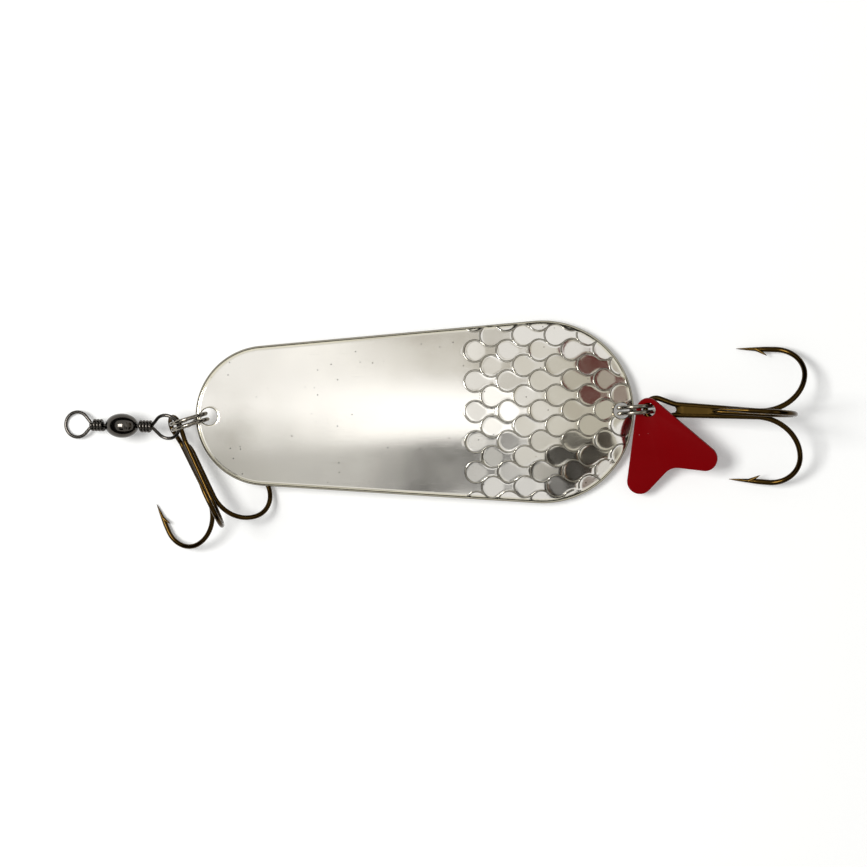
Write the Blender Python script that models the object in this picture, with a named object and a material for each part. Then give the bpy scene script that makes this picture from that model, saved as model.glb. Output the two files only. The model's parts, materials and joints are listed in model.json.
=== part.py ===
"""Spoon lure: a domed blade with a barrel swivel, two split rings, a fish-tail tag and two treble hooks.

Units are metres and +Z is up. The lure lies flat with the dome of its blade upwards, the head of the blade
towards -X and its tail towards +X. Each loose piece hangs on an empty that sits on the axis it turns about.
"""

import math
from collections import namedtuple

import bmesh
import bpy
from mathutils import Euler, Matrix, Vector

# Blade
BLADE_LENGTH = 0.100
BLADE_HEAD_RADIUS = 0.016
BLADE_TAIL_RADIUS = 0.0209
BLADE_THICKNESS = 0.0013
BLADE_HEAD_CROWN_RADIUS = 0.075
BLADE_TAIL_CROWN_RADIUS = 0.048
BLADE_BEND_LENGTH = 0.031
BLADE_BEND_ANGLE = math.radians(17)
BLADE_PITCH = math.radians(0.15)
HEAD_HOLE_INSET = 0.0031
TAIL_HOLE_INSET = 0.0029
HEAD_HOLE_PLAY = 0.0016
TAIL_HOLE_PLAY = 0.0014
HEAD_RING_PULL = 0.0007
TAIL_RING_SLACK = 0.0005

# Split rings
RING_DIAMETER = 0.00915
RING_WIRE = 0.00092
RING_TURN_GAP = 0.00043
RING_STEP_ANGLE = math.radians(30)
FRONT_RING_YAW = math.radians(196.6)
TAIL_RING_YAW = math.radians(2.8)
FRONT_RING_HOLE_ANGLE = math.radians(198)
TAIL_RING_HOLE_ANGLE = math.radians(200)
FRONT_RING_STEP_PLACE = math.radians(250)
TAIL_RING_STEP_PLACE = math.radians(270)

# Barrel swivel
BARREL_LENGTH = 0.0072
BARREL_DIAMETER = 0.0056
BARREL_END_DIAMETER = 0.0023
BARREL_WALL = 0.00045
SWIVEL_WIRE = 0.00078
SWIVEL_EYE_DIAMETER = 0.0065
SWIVEL_EYE_NECK = 0.0038
SWIVEL_HEAD_DIAMETER = 0.0019
SWIVEL_HEAD_LENGTH = 0.0010
SWIVEL_WRAP_TURNS = 2.25
SWIVEL_WRAP_GAP = 0.00043
SWIVEL_PLAY = 0.00015
SWIVEL_RING_PLAY = 0.0004
SWIVEL_RING_ANGLE = math.radians(8)
SWIVEL_YAW = math.radians(177.7)
SWIVEL_FALL = math.radians(19.5)
SWIVEL_RING_EYE_ROLL = math.radians(24)

# Fish-tail tag
TAG_THICKNESS = 0.0008
TAG_TOP_RADIUS = 0.0027
TAG_LOBE_RADIUS = 0.0029
TAG_LOBE_REACH = 0.0150
TAG_LOBE_SPREAD = 0.0080
TAG_NOTCH_REACH = 0.0147
TAG_NOTCH_RADIUS = 0.0038
TAG_HOLE_PLAY = 0.0011
TAG_YAW = math.radians(-68.6)
TAG_DROOP = math.radians(10)
TAG_BANK = math.radians(15)
TAG_RISE = 0.0020
TAG_SIDE_SHIFT = 0.0006

# Tail treble hook
TAIL_HOOK_WIRE = 0.00125
TAIL_HOOK_EYE_PLAY = 0.0013
TAIL_HOOK_SHANK = 0.0233
TAIL_HOOK_LOWER_BEND = 0.0097
TAIL_HOOK_UPPER_BEND = 0.0071
TAIL_HOOK_POINT = 0.0094
TAIL_HOOK_THIRD_START = 0.42
TAIL_HOOK_PULL = 0.0004
TAIL_HOOK_RING_ANGLE = math.radians(12)
TAIL_HOOK_YAW = math.radians(-3.8)
TAIL_HOOK_PITCH = math.radians(10)
TAIL_HOOK_ROLL = math.radians(-1.7)

# Front treble hook
FRONT_HOOK_WIRE = 0.00110
FRONT_HOOK_EYE_PLAY = 0.0010
FRONT_HOOK_SHANK = 0.0181
FRONT_HOOK_LOWER_BEND = 0.0080
FRONT_HOOK_UPPER_BEND = 0.0057
FRONT_HOOK_POINT = 0.0071
FRONT_HOOK_THIRD_START = 0.03
FRONT_HOOK_RING_ANGLE = math.radians(-34)
FRONT_HOOK_YAW = math.radians(-65.2)
FRONT_HOOK_PITCH = math.radians(6.7)
FRONT_HOOK_ROLL = math.radians(-119.2)

# Shared by both treble hooks
HOOK_LEG_SPREAD = 0.0011
HOOK_BRAZE_GAP = 0.00006
HOOK_LEG_GAP = 0.00010
HOOK_PRONG_ANGLE = math.radians(120)
HOOK_EYE_OPENING = math.radians(75)
HOOK_BRAZE_HEIGHT = 0.5
HOOK_BRAZE_END = 0.0004
HOOK_TAPER = 0.0045
HOOK_TIP_SHARE = 0.08
HOOK_POINT_DROOP = math.radians(2)
BARB_START = 0.0045
BARB_LENGTH = 0.0030
BARB_LIFT = math.radians(24)
BARB_SHARE = 0.55

# How round the solids are
RING_POINTS = 24
BEND_POINTS = 9
HOLE_SIDES = 32
BARREL_SIDES = 24
BARREL_STATIONS = 9
BLADE_CAP_ROWS = 12
BLADE_BODY_ROWS = 12
BLADE_COLUMNS = 16
BARB_SIDES = 6
HOOK_WIRE_POINTS = 2
SHARP_ANGLE = math.radians(40)
MERGE_DISTANCE = 1e-7
CUTTER_DEPTHS = 6
GAP_REACH = 4

Treble = namedtuple("Treble", "name wire eye_play shank lower_bend upper_bend point third_start")
Finish = namedtuple("Finish", "name colour metallic roughness")

NICKEL_PLATE = Finish("nickel_plated_brass", (0.80, 0.79, 0.76), 1.0, 0.12)
SPRING_STEEL = Finish("nickel_plated_steel", (0.55, 0.54, 0.51), 1.0, 0.22)
BLACK_NICKEL = Finish("black_nickel", (0.07, 0.07, 0.07), 1.0, 0.25)
BRONZED_STEEL = Finish("bronzed_steel", (0.16, 0.10, 0.03), 1.0, 0.30)
BRAZE = Finish("braze", (0.20, 0.12, 0.04), 1.0, 0.45)
RED_PLASTIC = Finish("red_plastic", (0.24, 0.004, 0.006), 0.0, 0.35)

RING_RADIUS = (RING_DIAMETER - RING_WIRE) / 2
RING_PITCH = RING_WIRE + RING_TURN_GAP
RING_PACK = RING_PITCH + RING_WIRE
HEAD_HOLE_DIAMETER = RING_PACK + HEAD_HOLE_PLAY
TAIL_HOLE_DIAMETER = RING_PACK + TAIL_HOLE_PLAY


def clear_scene():
    """Remove every object that the file opens with."""
    for item in list(bpy.data.objects):
        bpy.data.objects.remove(item)


def material(finish):
    """Return the Principled material of a finish, made once."""
    made = bpy.data.materials.get(finish.name)
    if made:
        return made
    made = bpy.data.materials.new(finish.name)
    made.use_nodes = True
    shader = made.node_tree.nodes["Principled BSDF"]
    shader.inputs["Base Color"].default_value = (*finish.colour, 1.0)
    shader.inputs["Metallic"].default_value = finish.metallic
    shader.inputs["Roughness"].default_value = finish.roughness
    made.diffuse_color = (*finish.colour, 1.0)
    return made


def pivot(name, parent, place):
    """Return an empty whose world matrix at rest is place."""
    item = bpy.data.objects.new(name, None)
    bpy.context.collection.objects.link(item)
    item["rest"] = [value for row in place for value in row]
    item.parent = parent
    item.matrix_basis = rest_matrix(parent).inverted() @ place if parent else place
    return item


def rest_matrix(item):
    """Return the world matrix that an empty was placed with."""
    values = list(item["rest"])
    return Matrix([values[start:start + 4] for start in range(0, 16, 4)])


def add(name, data, finish, parent):
    """Add data as a named object under an empty."""
    item = bpy.data.objects.new(name, data)
    bpy.context.collection.objects.link(item)
    item.parent = parent
    data.materials.append(material(finish))
    return item


def mesh_from(name, build):
    """Return a smooth-shaded mesh that build fills as a bmesh."""
    data = bpy.data.meshes.new(name)
    shape = bmesh.new()
    build(shape)
    bmesh.ops.recalc_face_normals(shape, faces=shape.faces)
    shape.to_mesh(data)
    shape.free()
    data.shade_smooth()
    data.set_sharp_from_angle(angle=SHARP_ANGLE)
    return data


def guide(name, data, parent):
    """Add a mesh that only cuts or joins others."""
    item = bpy.data.objects.new(name, data)
    bpy.context.collection.objects.link(item)
    item.parent = parent
    item.hide_render = True
    item.display_type = "WIRE"
    return item


def combine(item, other, operation):
    """Cut another object from item, or join it to item."""
    change = item.modifiers.new(other.name, "BOOLEAN")
    change.object = other
    change.operation = operation
    change.solver = "EXACT"


def wire_curve(name, points, diameter, shares=None, resolution=1):
    """Return a round wire along points; shares scales its radius point by point."""
    data = bpy.data.curves.new(name, "CURVE")
    data.dimensions = "3D"
    data.bevel_depth = diameter / 2
    data.bevel_resolution = resolution
    data.use_fill_caps = True
    line = data.splines.new("POLY")
    line.points.add(len(points) - 1)
    for index, place in enumerate(points):
        line.points[index].co = (*place, 1.0)
        line.points[index].radius = shares[index] if shares else 1.0
    return data


def wire_mesh(name, points, diameter, shares, resolution):
    """Return the same wire as a closed mesh, so that other shapes can be joined to it."""
    curve = wire_curve(name, points, diameter, shares, resolution)
    carrier = bpy.data.objects.new(name, curve)
    data = bpy.data.meshes.new_from_object(carrier)
    bpy.data.objects.remove(carrier)
    bpy.data.curves.remove(curve)
    shape = bmesh.new()
    shape.from_mesh(data)
    bmesh.ops.remove_doubles(shape, verts=shape.verts, dist=MERGE_DISTANCE)
    bmesh.ops.recalc_face_normals(shape, faces=shape.faces)
    shape.to_mesh(data)
    shape.free()
    data.shade_smooth()
    data.set_sharp_from_angle(angle=SHARP_ANGLE)
    return data


def least_gap(points, diameter, apart):
    """Return the smallest space between two stretches of a wire that lie further than apart along it."""
    along = [0.0]
    for first, second in zip(points, points[1:]):
        along.append(along[-1] + (second - first).length)
    gaps = [
        (points[later] - points[index]).length - diameter
        for index in range(len(points))
        for later in range(index + 1, len(points))
        if along[later] - along[index] > apart
    ]
    return min(gaps)


def eased(start, start_slope, end, end_slope, steps):
    """Return points of a smooth curve between two places, without its two ends."""
    points = []
    for index in range(1, steps):
        t = index / steps
        points.append(
            start * (2 * t ** 3 - 3 * t ** 2 + 1)
            + start_slope * (t ** 3 - 2 * t ** 2 + t)
            + end * (3 * t ** 2 - 2 * t ** 3)
            + end_slope * (t ** 3 - t ** 2)
        )
    return points


def arc(centre, radius, start, end, steps):
    """Return points of an arc in the XY plane, both ends included."""
    return [
        centre + radius * Vector((math.cos(angle), math.sin(angle), 0))
        for angle in (start + (end - start) * index / steps for index in range(steps + 1))
    ]


# Blade: its plan is the hull of two circles, its surface a crown that turns down at the tail
def blade_rise(x):
    """Height of the centre line at x, level up to the bend and falling along an arc after it."""
    run = max(0.0, x - (BLADE_LENGTH / 2 - BLADE_BEND_LENGTH))
    radius = BLADE_BEND_LENGTH / math.sin(BLADE_BEND_ANGLE)
    return math.sqrt(radius ** 2 - run ** 2) - radius


def blade_surface(x, y):
    """Point on the blade's middle surface."""
    share = 0.5 + x / BLADE_LENGTH
    crown = BLADE_HEAD_CROWN_RADIUS + (BLADE_TAIL_CROWN_RADIUS - BLADE_HEAD_CROWN_RADIUS) * share
    return Vector((x, y, blade_rise(x) + math.sqrt(crown ** 2 - y ** 2) - crown))


def blade_rows():
    """Return (x, half width) from head to tail, without the two end points."""
    head = BLADE_HEAD_RADIUS - BLADE_LENGTH / 2
    tail = BLADE_LENGTH / 2 - BLADE_TAIL_RADIUS
    taper = math.pi / 2 + math.asin((BLADE_TAIL_RADIUS - BLADE_HEAD_RADIUS) / (tail - head))
    rows = []
    for index in range(1, BLADE_CAP_ROWS + 1):
        angle = math.pi + (taper - math.pi) * index / BLADE_CAP_ROWS
        rows.append((head + BLADE_HEAD_RADIUS * math.cos(angle), BLADE_HEAD_RADIUS * math.sin(angle)))
    far = (tail + BLADE_TAIL_RADIUS * math.cos(taper), BLADE_TAIL_RADIUS * math.sin(taper))
    near = rows[-1]
    for index in range(1, BLADE_BODY_ROWS):
        share = index / BLADE_BODY_ROWS
        rows.append((near[0] + (far[0] - near[0]) * share, near[1] + (far[1] - near[1]) * share))
    for index in range(BLADE_CAP_ROWS):
        angle = taper * (1 - index / BLADE_CAP_ROWS)
        rows.append((tail + BLADE_TAIL_RADIUS * math.cos(angle), BLADE_TAIL_RADIUS * math.sin(angle)))
    return rows


def fill_blade(shape):
    """Make the blade's middle surface from its rows."""
    shares = [2 * index / BLADE_COLUMNS - 1 for index in range(BLADE_COLUMNS + 1)]
    head = shape.verts.new(blade_surface(-BLADE_LENGTH / 2, 0))
    tail = shape.verts.new(blade_surface(BLADE_LENGTH / 2, 0))
    rows = [[shape.verts.new(blade_surface(x, share * half)) for share in shares] for x, half in blade_rows()]
    for first, second in zip(rows, rows[1:]):
        for index in range(BLADE_COLUMNS):
            shape.faces.new((first[index], second[index], second[index + 1], first[index + 1]))
    for index in range(BLADE_COLUMNS):
        shape.faces.new((head, rows[0][index], rows[0][index + 1]))
        shape.faces.new((tail, rows[-1][index + 1], rows[-1][index]))


def blade_hole(x):
    """Return the matrix of a hole's centre, with its Z axis square to the sheet."""
    step = BLADE_THICKNESS
    slope = math.atan2(blade_rise(x + step) - blade_rise(x - step), 2 * step)
    return Matrix.Translation(blade_surface(x, 0)) @ Matrix.Rotation(-slope, 4, "Y")


def make_blade(parent):
    """Make the pierced blade."""
    blade = add("blade", mesh_from("blade", fill_blade), NICKEL_PLATE, parent)
    sheet = blade.modifiers.new("sheet", "SOLIDIFY")
    sheet.thickness = BLADE_THICKNESS
    sheet.offset = 0
    holes = (
        ("head_hole", HEAD_HOLE_INSET - BLADE_LENGTH / 2, HEAD_HOLE_DIAMETER),
        ("tail_hole", BLADE_LENGTH / 2 - TAIL_HOLE_INSET, TAIL_HOLE_DIAMETER),
    )
    for name, x, diameter in holes:
        def fill_cutter(shape, diameter=diameter):
            """Make a plug that is longer than the sheet is thick."""
            bmesh.ops.create_cone(
                shape, cap_ends=True, segments=HOLE_SIDES, radius1=diameter / 2,
                radius2=diameter / 2, depth=CUTTER_DEPTHS * BLADE_THICKNESS,
            )
        cutter = guide(name, mesh_from(name, fill_cutter), parent)
        cutter.matrix_basis = blade_hole(x)
        combine(blade, cutter, "DIFFERENCE")


# Split rings: two flat turns of wire, with one step from the first turn to the second
def ring_place(angle):
    """Point on a ring's middle circle, from +X towards +Z."""
    return Vector((RING_RADIUS * math.cos(angle), 0, RING_RADIUS * math.sin(angle)))


def make_ring(name, parent, hole_angle, step_angle):
    """Make a split ring whose point at hole_angle is on the pivot."""
    points = []
    steps = 2 * RING_POINTS
    turn = 4 * math.pi - 2 * RING_STEP_ANGLE
    for index in range(steps + 1):
        angle = RING_STEP_ANGLE + turn * index / steps
        share = (angle - 2 * math.pi + RING_STEP_ANGLE) / (2 * RING_STEP_ANGLE)
        share = min(1.0, max(0.0, share))
        side = RING_PITCH * (share * share * (3 - 2 * share) - 0.5)
        points.append(ring_place(angle + step_angle) + Vector((0, side, 0)))
    gap = least_gap(points, RING_WIRE, GAP_REACH * RING_PITCH)
    print(f"{name}: least gap between turns {1000 * gap:.3f} mm")
    ring = add(name, wire_curve(name, points, RING_WIRE), SPRING_STEEL, parent)
    ring.location = -ring_place(hole_angle)


# Barrel swivel: X runs along it from the ring to the line, and the ring passes through its first eye
SWIVEL_EYE_RADIUS = (SWIVEL_EYE_DIAMETER - SWIVEL_WIRE) / 2
SWIVEL_WRAP_RADIUS = SWIVEL_WIRE + SWIVEL_WRAP_GAP
SWIVEL_WRAP_LENGTH = SWIVEL_WRAP_TURNS * (SWIVEL_WIRE + SWIVEL_WRAP_GAP)
SWIVEL_NECK_X = BARREL_LENGTH / 2 + SWIVEL_PLAY + SWIVEL_WIRE + SWIVEL_WRAP_LENGTH
SWIVEL_EYE_X = SWIVEL_NECK_X + SWIVEL_EYE_NECK
SWIVEL_EYE_INNER = SWIVEL_EYE_RADIUS - SWIVEL_WIRE / 2
SWIVEL_SEAT = math.sqrt(SWIVEL_EYE_INNER ** 2 - (RING_PACK / 2) ** 2) - RING_WIRE / 2 - SWIVEL_RING_PLAY


def swivel_eye_points():
    """Return the points and radius shares of one eye wire, from its head in the barrel out along +X."""
    inner_end = BARREL_LENGTH / 2 - BARREL_WALL - SWIVEL_PLAY
    flare = SWIVEL_HEAD_DIAMETER / SWIVEL_WIRE
    line = [(inner_end - SWIVEL_HEAD_LENGTH, flare), (inner_end - SWIVEL_WIRE / 2, flare), (inner_end, 1.0)]
    points = [Vector((x, 0, 0)) for x, _ in line]
    shares = [share for _, share in line]
    stem = Vector((SWIVEL_NECK_X, 0, 0))
    centre = Vector((SWIVEL_EYE_X, 0, 0))
    open_angle = math.pi - math.acos(SWIVEL_EYE_RADIUS / SWIVEL_EYE_NECK)
    loop = arc(centre, SWIVEL_EYE_RADIUS, open_angle, -open_angle, RING_POINTS)
    reach = SWIVEL_EYE_NECK / 2
    outward = (loop[1] - loop[0]).normalized() * reach
    inward = (loop[-1] - loop[-2]).normalized() * reach
    points.append(stem)
    points += eased(stem, Vector((reach, 0, 0)), loop[0], outward, BEND_POINTS)
    points += loop
    wraps = []
    count = round(SWIVEL_WRAP_TURNS * RING_POINTS)
    for index in range(count + 1):
        angle = -math.pi / 2 - 2 * math.pi * index / RING_POINTS
        x = SWIVEL_NECK_X - SWIVEL_WRAP_LENGTH * index / count
        wraps.append(Vector((x, SWIVEL_WRAP_RADIUS * math.sin(angle), SWIVEL_WRAP_RADIUS * math.cos(angle))))
    first = (wraps[1] - wraps[0]).normalized() * SWIVEL_WRAP_RADIUS
    points += eased(loop[-1], inward, wraps[0], first, BEND_POINTS)
    points += wraps
    shares += [1.0] * (len(points) - len(shares))
    return points, shares


def fill_barrel(shape):
    """Turn the barrel's hollow olive profile about X."""
    half = BARREL_LENGTH / 2
    bore = SWIVEL_WIRE / 2 + SWIVEL_PLAY
    wide = BARREL_DIAMETER / 2
    end = BARREL_END_DIAMETER / 2
    bulge = half / math.sqrt(1 - (end / wide) ** 2)
    inner_half = half - BARREL_WALL
    profile = []
    for index in range(BARREL_STATIONS):
        x = half * math.cos(math.pi * index / (BARREL_STATIONS - 1))
        profile.append((x, wide * math.sqrt(1 - (x / bulge) ** 2)))
    profile.append((-half, bore))
    for index in range(BARREL_STATIONS):
        x = -inner_half * math.cos(math.pi * index / (BARREL_STATIONS - 1))
        ellipse = math.sqrt(max(0.0, 1 - (x / (bulge - BARREL_WALL)) ** 2))
        ends = index in (0, BARREL_STATIONS - 1)
        profile.append((x, bore if ends else (wide - BARREL_WALL) * ellipse))
    profile.append((half, bore))
    edge = [shape.verts.new((x, radius, 0)) for x, radius in profile]
    edges = [shape.edges.new((edge[index], edge[(index + 1) % len(edge)])) for index in range(len(edge))]
    bmesh.ops.spin(
        shape, geom=edge + edges, cent=(0, 0, 0), axis=(1, 0, 0), angle=2 * math.pi,
        steps=BARREL_SIDES, use_merge=True,
    )
    bmesh.ops.remove_doubles(shape, verts=shape.verts, dist=MERGE_DISTANCE)


def make_swivel(ring_pivot, spin_place):
    """Make the barrel and its two eyes; spin_place is the middle of the barrel, with +X towards the line."""
    points, shares = swivel_eye_points()
    gap = least_gap(points, SWIVEL_WIRE, GAP_REACH * SWIVEL_WRAP_RADIUS)
    print(f"swivel eyes: least gap in the wraps {1000 * gap:.3f} mm")
    spin = pivot("swivel_spin", ring_pivot, spin_place)
    add("swivel_barrel", mesh_from("swivel_barrel", fill_barrel), BLACK_NICKEL, spin)
    add("swivel_line_eye", wire_curve("swivel_line_eye", points, SWIVEL_WIRE, shares), BLACK_NICKEL, spin)
    back = pivot("swivel_ring_eye_turn", spin, spin_place @ Matrix.Rotation(math.pi, 4, "Z")
                 @ Matrix.Rotation(SWIVEL_RING_EYE_ROLL, 4, "X"))
    add("swivel_ring_eye", wire_curve("swivel_ring_eye", points, SWIVEL_WIRE, shares), BLACK_NICKEL, back)


# Fish-tail tag: X runs from its hole to its notch
def tag_outline():
    """Return the outline as arcs joined by their common tangents."""
    circles = [
        (Vector((0, 0, 0)), TAG_TOP_RADIUS),
        (Vector((TAG_LOBE_REACH, -TAG_LOBE_SPREAD, 0)), TAG_LOBE_RADIUS),
        (Vector((TAG_NOTCH_REACH + TAG_NOTCH_RADIUS, 0, 0)), -TAG_NOTCH_RADIUS),
        (Vector((TAG_LOBE_REACH, TAG_LOBE_SPREAD, 0)), TAG_LOBE_RADIUS),
    ]
    normals = []
    for index, (centre, radius) in enumerate(circles):
        other, other_radius = circles[(index + 1) % len(circles)]
        line = other - centre
        normals.append(math.atan2(line.y, line.x) - math.acos((radius - other_radius) / line.length))
    outline = []
    for index, (centre, radius) in enumerate(circles):
        sweep = (normals[index] - normals[index - 1]) % (2 * math.pi)
        if radius < 0:
            sweep -= 2 * math.pi
        outline += arc(centre, radius, normals[index - 1], normals[index - 1] + sweep, BEND_POINTS)
    return outline


def make_tag(parent):
    """Make the pierced tag, its middle plane on the pivot."""
    def fill_plate(shape):
        """Raise the outline to the tag's thickness."""
        sunk = Vector((0, 0, -TAG_THICKNESS / 2))
        base = shape.faces.new([shape.verts.new(point + sunk) for point in tag_outline()])
        raised = bmesh.ops.extrude_face_region(shape, geom=[base])["geom"]
        corners = [item for item in raised if isinstance(item, bmesh.types.BMVert)]
        bmesh.ops.translate(shape, verts=corners, vec=(0, 0, TAG_THICKNESS))

    def fill_hole(shape):
        """Make a plug that is longer than the tag is thick."""
        radius = (RING_PACK + TAG_HOLE_PLAY) / 2
        bmesh.ops.create_cone(
            shape, cap_ends=True, segments=HOLE_SIDES, radius1=radius, radius2=radius,
            depth=CUTTER_DEPTHS * TAG_THICKNESS,
        )

    tag = add("tail_tag", mesh_from("tail_tag", fill_plate), RED_PLASTIC, parent)
    combine(tag, guide("tag_hole", mesh_from("tag_hole", fill_hole), parent), "DIFFERENCE")


# Treble hooks: X runs from the eye along the shank, Z towards the third hook
def hook_bend(treble, start, outward, shank):
    """Return the points and radius shares of one hook, from the end of its shank to its tip."""
    forward = Vector((1, 0, 0))
    points = []
    for index in range(BEND_POINTS + 1):
        angle = math.pi / 2 * index / BEND_POINTS
        x = shank + treble.lower_bend * math.sin(angle)
        points.append((x, treble.lower_bend * (1 - math.cos(angle))))
    middle = shank + treble.lower_bend - treble.upper_bend
    for index in range(1, BEND_POINTS + 1):
        angle = math.pi / 2 * index / BEND_POINTS
        points.append((
            middle + treble.upper_bend * math.cos(angle),
            treble.lower_bend + treble.upper_bend * math.sin(angle),
        ))
    shares = [1.0] * len(points)
    top = points[-1][1]
    for run, share in ((treble.point - HOOK_TAPER, 1.0), (treble.point, HOOK_TIP_SHARE)):
        points.append((middle - run * math.cos(HOOK_POINT_DROOP), top - run * math.sin(HOOK_POINT_DROOP)))
        shares.append(share)
    return [start + forward * x + outward * rise for x, rise in points], shares


def fill_barb(treble, hook, outward):
    """Return a builder of the barb that stands back from a hook's point on its inner side."""
    tip = hook[-1]
    back = (hook[-2] - hook[-1]).normalized()
    root = tip + back * BARB_START
    along = back * math.cos(BARB_LIFT) - outward * math.sin(BARB_LIFT)
    radius = BARB_SHARE * treble.wire / 2

    def fill(shape):
        """Make the barb as a slim cone."""
        turn = along.to_track_quat("Z", "Y").to_matrix().to_4x4()
        bmesh.ops.create_cone(
            shape, cap_ends=True, segments=BARB_SIDES, radius1=radius, radius2=radius * HOOK_TIP_SHARE,
            depth=BARB_LENGTH, matrix=Matrix.Translation(root + along * (BARB_LENGTH / 2)) @ turn,
        )
    return fill


def add_hook_piece(name, treble, points, shares, hooks, parent):
    """Add a hook wire with the barb of each of its hooks joined on."""
    piece = add(name, wire_mesh(name, points, treble.wire, shares, HOOK_WIRE_POINTS), BRONZED_STEEL, parent)
    for index, (hook, outward) in enumerate(hooks):
        label = f"{name}_barb_{index}"
        barb = guide(label, mesh_from(label, fill_barb(treble, hook, outward)), parent)
        combine(piece, barb, "UNION")


def make_treble(treble, parent):
    """Make the double hook, the third hook and the braze between them."""
    eye_radius = (RING_PACK + treble.eye_play + treble.wire) / 2
    close = (treble.wire + HOOK_LEG_GAP) / 2
    spread = (treble.wire + HOOK_LEG_SPREAD) / 2
    throat = 2 * eye_radius
    loop = arc(Vector((0, 0, 0)), eye_radius, HOOK_EYE_OPENING, 2 * math.pi - HOOK_EYE_OPENING, RING_POINTS)
    leg_run = Vector((treble.shank - throat, close - spread, 0))
    leg_start = Vector((throat, spread, 0))
    leave = (loop[0] - loop[1]).normalized() * throat / 2
    half = [leg_start] + eased(leg_start, -leg_run.normalized() * throat / 2, loop[0], -leave, BEND_POINTS)
    side = math.sin(HOOK_PRONG_ANGLE)
    fall = math.cos(HOOK_PRONG_ANGLE)
    upper, shares = hook_bend(treble, Vector((0, close, 0)), Vector((0, side, fall)), treble.shank)
    lower = [Vector((point.x, -point.y, point.z)) for point in upper]
    other_half = [Vector((point.x, -point.y, point.z)) for point in reversed(half)]
    points = list(reversed(upper)) + half + loop + other_half + lower
    plain = [1.0] * (len(points) - 2 * len(shares))
    hooks = [(upper, Vector((0, side, fall))), (lower, Vector((0, -side, fall)))]
    name = f"{treble.name}_double_hook"
    add_hook_piece(name, treble, points, shares[::-1] + plain + shares, hooks, parent)

    height = math.sqrt((treble.wire + HOOK_LEG_GAP) ** 2 - close ** 2) + HOOK_LEG_GAP
    seat = Vector((0, 0, height))
    upward = Vector((0, 0, 1))
    third, shares = hook_bend(treble, seat, upward, treble.shank)
    start = throat + (treble.shank - throat) * treble.third_start
    points = [Vector((start, 0, height))] + third
    add_hook_piece(f"{treble.name}_third_hook", treble, points, [1.0] + shares, [(third, upward)], parent)

    def fill_braze(shape):
        """Make the wedge that fills the groove between the two legs."""
        tall = HOOK_BRAZE_HEIGHT * treble.wire / 2
        share = (HOOK_LEG_SPREAD - HOOK_BRAZE_END) / (HOOK_LEG_SPREAD - HOOK_LEG_GAP)
        reach = (treble.shank - throat) * share
        ends = ((throat, HOOK_LEG_SPREAD), (throat + reach, HOOK_BRAZE_END))
        rings = []
        for x, gap in ends:
            wide = gap / 2 - HOOK_BRAZE_GAP
            rings.append([shape.verts.new((x, y, z)) for y, z in
                          ((-wide, -tall), (wide, -tall), (wide, tall), (-wide, tall))])
        near, far = rings
        shape.faces.new(near)
        shape.faces.new(far)
        for index in range(len(near)):
            after = (index + 1) % len(near)
            shape.faces.new((near[index], near[after], far[after], far[index]))

    name = f"{treble.name}_braze"
    add(name, mesh_from(name, fill_braze), BRAZE, parent)


# Assembly: each end of the blade carries a ring, and each ring carries what hangs on it
def turned(place, roll, pitch, yaw):
    """Return the matrix of a piece at place that points along yaw, lifted by pitch and turned by roll."""
    return Matrix.Translation(place) @ Euler((roll, -pitch, yaw), "XYZ").to_matrix().to_4x4()


def ring_seat(name, root, blade, bar_x, wire_x, yaw):
    """Return the empty of a ring's wire in its hole; it hangs on one in the bar between hole and edge."""
    turn = Matrix.Rotation(yaw, 4, "Z")
    swing = pivot(f"{name}_swing", root, Matrix.Translation(blade @ blade_surface(bar_x, 0)) @ turn)
    return pivot(f"{name}_seat", swing, Matrix.Translation(blade @ blade_surface(wire_x, 0)) @ turn)


def on_ring(carrier, hole_angle, angle):
    """Return the world place of a ring's point at an angle."""
    return rest_matrix(carrier) @ (ring_place(angle) - ring_place(hole_angle))


def stand(root):
    """Move the whole lure so that it stands on z = 0, centred over the origin."""
    bpy.context.view_layer.update()
    graph = bpy.context.evaluated_depsgraph_get()
    corners = []
    for item in bpy.data.objects:
        if item.type in ("MESH", "CURVE") and not item.hide_render:
            seen = item.evaluated_get(graph)
            shape = seen.to_mesh()
            corners += [seen.matrix_world @ vertex.co for vertex in shape.vertices]
            seen.to_mesh_clear()
    low = [min(corner[axis] for corner in corners) for axis in range(3)]
    high = [max(corner[axis] for corner in corners) for axis in range(3)]
    root.location = (-(low[0] + high[0]) / 2, -(low[1] + high[1]) / 2, -low[2])
    bpy.context.view_layer.update()


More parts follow.
